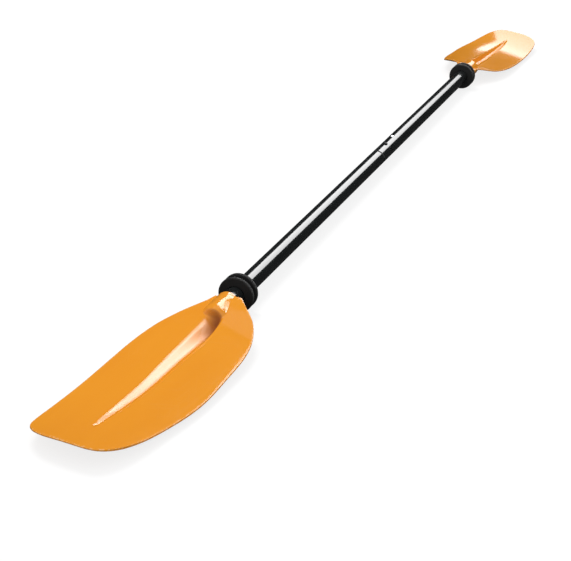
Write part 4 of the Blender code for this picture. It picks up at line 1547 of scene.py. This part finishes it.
@dataclass
class Studio:
    """The white floor, the soft light, the glowing panels, the dark cards and the camera."""

    layout: Layout
    sensor_width: float = 36.0  # millimetres, as is the focal length
    focal_length: float = 82.313
    camera_from_axis: Triple = (-2.22463, -0.59932, 0.90365)
    azimuth: float = 18.38537
    elevation: float = 27.15810
    roll: float = 8.13736
    floor_size: float = 80.0
    floor_drop: float = 0.0004
    floor_colour: float = 0.26
    floor_glow: float = 0.79
    world_level: float = 0.72
    key_place: Triple = (-0.1, 1.1, 2.8)
    key_size: float = 1.4
    key_radiance: float = 8.0
    flag_radius: float = 4.0
    flag_height: float = 8.0
    # The flag and the sheet are painted dark reflections; these are their glow levels
    flag_level: float = 0.015
    flag_step: int = 5  # degrees
    sheet_level: float = 0.03
    sheet_drop: float = 0.0002
    panels: tuple[Panel, ...] = (
        Panel("shaft_panel", ((-0.145, -0.30), (2.05, -0.30), (2.05, 0.22), (1.75, 0.22), (1.5, 0.33),
                              (0.20, 0.33), (0.10, 0.30), (0.0, 0.245), (-0.08, 0.19), (-0.145, 0.13)),
              start=9.5, end=3.6),
        Panel("far_panel", ((2.06, -0.15), (2.45, -0.15), (2.55, 0.28), (3.00, 0.42), (3.30, 0.53),
                            (3.30, 0.58), (3.00, 0.50), (2.50, 0.365), (2.06, 0.23)), start=4.0, end=4.0),
        Panel("tip_panel", ((-0.45, -0.05), (-0.45, -0.15), (-0.15, -0.15), (-0.15, 0.03), (-0.32, 0.02)),
              start=8.0, end=3.0),
        Panel("channel_panel", ((-0.45, -0.15), (-0.45, -0.28), (-0.30, -0.45), (-0.29, -0.45),
                                (-0.29, -0.15)), start=8.0, end=15.0),
        Panel("nose_panel", ((-0.29, -0.45), (-0.14, -0.45), (-0.14, -0.302), (-0.149, -0.302),
                             (-0.15, -0.15), (-0.29, -0.15)), start=13.0, end=0.5),
    )

    def build(self) -> None:
        """Make everything round the paddle."""
        self.add_camera()
        self.add_floor()
        self.add_world()
        self.add_lights()
        self.add_flags()
        bpy.context.scene.view_settings.view_transform = "Standard"

    def add_camera(self) -> None:
        """The camera at the photograph's viewing angle."""
        data = bpy.data.cameras.new("camera")
        data.sensor_fit = "HORIZONTAL"
        data.sensor_width = self.sensor_width
        data.lens = self.focal_length
        camera = linked("camera", data)
        turn, fall, roll = (math.radians(angle) for angle in (self.azimuth, self.elevation, self.roll))
        ahead = Vector((math.cos(fall) * math.cos(turn), math.cos(fall) * math.sin(turn), -math.sin(fall)))
        right = ahead.cross(Vector((0, 0, 1))).normalized()
        up = right.cross(ahead)
        right, up = (math.cos(roll) * right + math.sin(roll) * up,
                     math.cos(roll) * up - math.sin(roll) * right)
        place = Vector(self.camera_from_axis) + Vector((0, 0, self.layout.axis_height))
        camera.matrix_world = Matrix.Translation(place) @ Matrix((right, up, -ahead)).transposed().to_4x4()
        bpy.context.scene.camera = camera

    def add_floor(self) -> None:
        """A white floor that the camera sees as white, and that keeps the paddle's shadow."""
        shape = bmesh.new()
        bmesh.ops.create_grid(shape, x_segments=1, y_segments=1, size=self.floor_size / 2)
        bmesh.ops.translate(shape, verts=shape.verts, vec=(0.0, 0.0, -self.floor_drop))
        mesh = filled("floor", shape)
        material = bpy.data.materials.new("white_floor")
        tree = ShaderTree(material)
        rays = tree.node("ShaderNodeLightPath")
        camera, glossy, through = (Sock(tree, rays.outputs[name]) for name in
                                   ("Is Camera Ray", "Is Glossy Ray", "Is Transmission Ray"))
        seen = tree.math("MAXIMUM", tree.math("MAXIMUM", camera, glossy), through)
        lit = tree.sock("ShaderNodeBsdfDiffuse", None, {"Color": (*[self.floor_colour] * 3, 1.0)})
        glow = tree.sock("ShaderNodeEmission", None, {"Strength": seen * self.floor_glow})
        whole = tree.sock("ShaderNodeAddShader", None, {0: lit, 1: glow})
        tree.node("ShaderNodeOutputMaterial", None, {"Surface": whole})
        mesh.materials.append(material)
        linked("floor", mesh)

    def add_world(self) -> None:
        """An even white surrounding."""
        world = bpy.data.worlds.new("white_studio")
        bpy.context.scene.world = world
        world.use_nodes = True
        back = world.node_tree.nodes["Background"]
        back.inputs["Color"].default_value = (1.0, 1.0, 1.0, 1.0)
        back.inputs["Strength"].default_value = self.world_level

    def add_lights(self) -> None:
        """The key light above the near half, and the panels that the gloss shows."""
        data = bpy.data.lights.new("key_light", "AREA")
        data.shape = "DISK"
        data.size = self.key_size
        area = math.pi * (self.key_size / 2) ** 2
        data.energy = self.key_radiance * math.pi * area
        light = linked("key_light", data)
        place = Vector(self.key_place)
        turn = (-place).to_track_quat("-Z", "Y").to_matrix().to_4x4()
        light.matrix_world = Matrix.Translation(place) @ turn
        light.visible_camera = False
        light.visible_glossy = False
        for panel in self.panels:
            panel.build()

    def add_flags(self) -> None:
        """A dark curved card beyond the far blade and a dark sheet below, seen by reflections only: painted
        dark reflections, while the camera, the lights and the shadows meet the white world and floor.
        """
        steps = [math.radians(angle) for angle in range(-90, 90 + self.flag_step, self.flag_step)]
        radius, height = self.flag_radius, self.flag_height
        places = [(radius * math.cos(a), radius * math.sin(a), z) for a in steps for z in (0.0, height)]
        faces = [(2 * i, 2 * i + 1, 2 * i + 3, 2 * i + 2) for i in range(len(steps) - 1)]
        reflected_only("flag", places, faces, glow_material("flag_cloth", self.flag_level))
        corners = ((-1, -1), (1, -1), (1, 1), (-1, 1))
        sheet = [(x * radius, y * radius, -self.sheet_drop) for x, y in corners]
        reflected_only("dark_sheet", sheet, [(0, 1, 2, 3)], glow_material("sheet_cloth", self.sheet_level))


def main() -> None:
    """Build the paddle and its studio."""
    logging.basicConfig(level=logging.INFO, format="%(name)s: %(message)s")
    layout = Layout.from_frame()
    Studio(layout).build()
    ferrule = Ferrule(layout)
    for side in Side:
        blade = Blade(layout, side)
        blade.dress()
        ShaftTube(layout, side).dress()
        DripRing(layout, side).dress()
        Plugs(layout, side).dress()
        RivetSet(layout, side, ferrule, blade.socket_radius).dress()
    ferrule.dress()


if __name__ == "__main__":
    main()
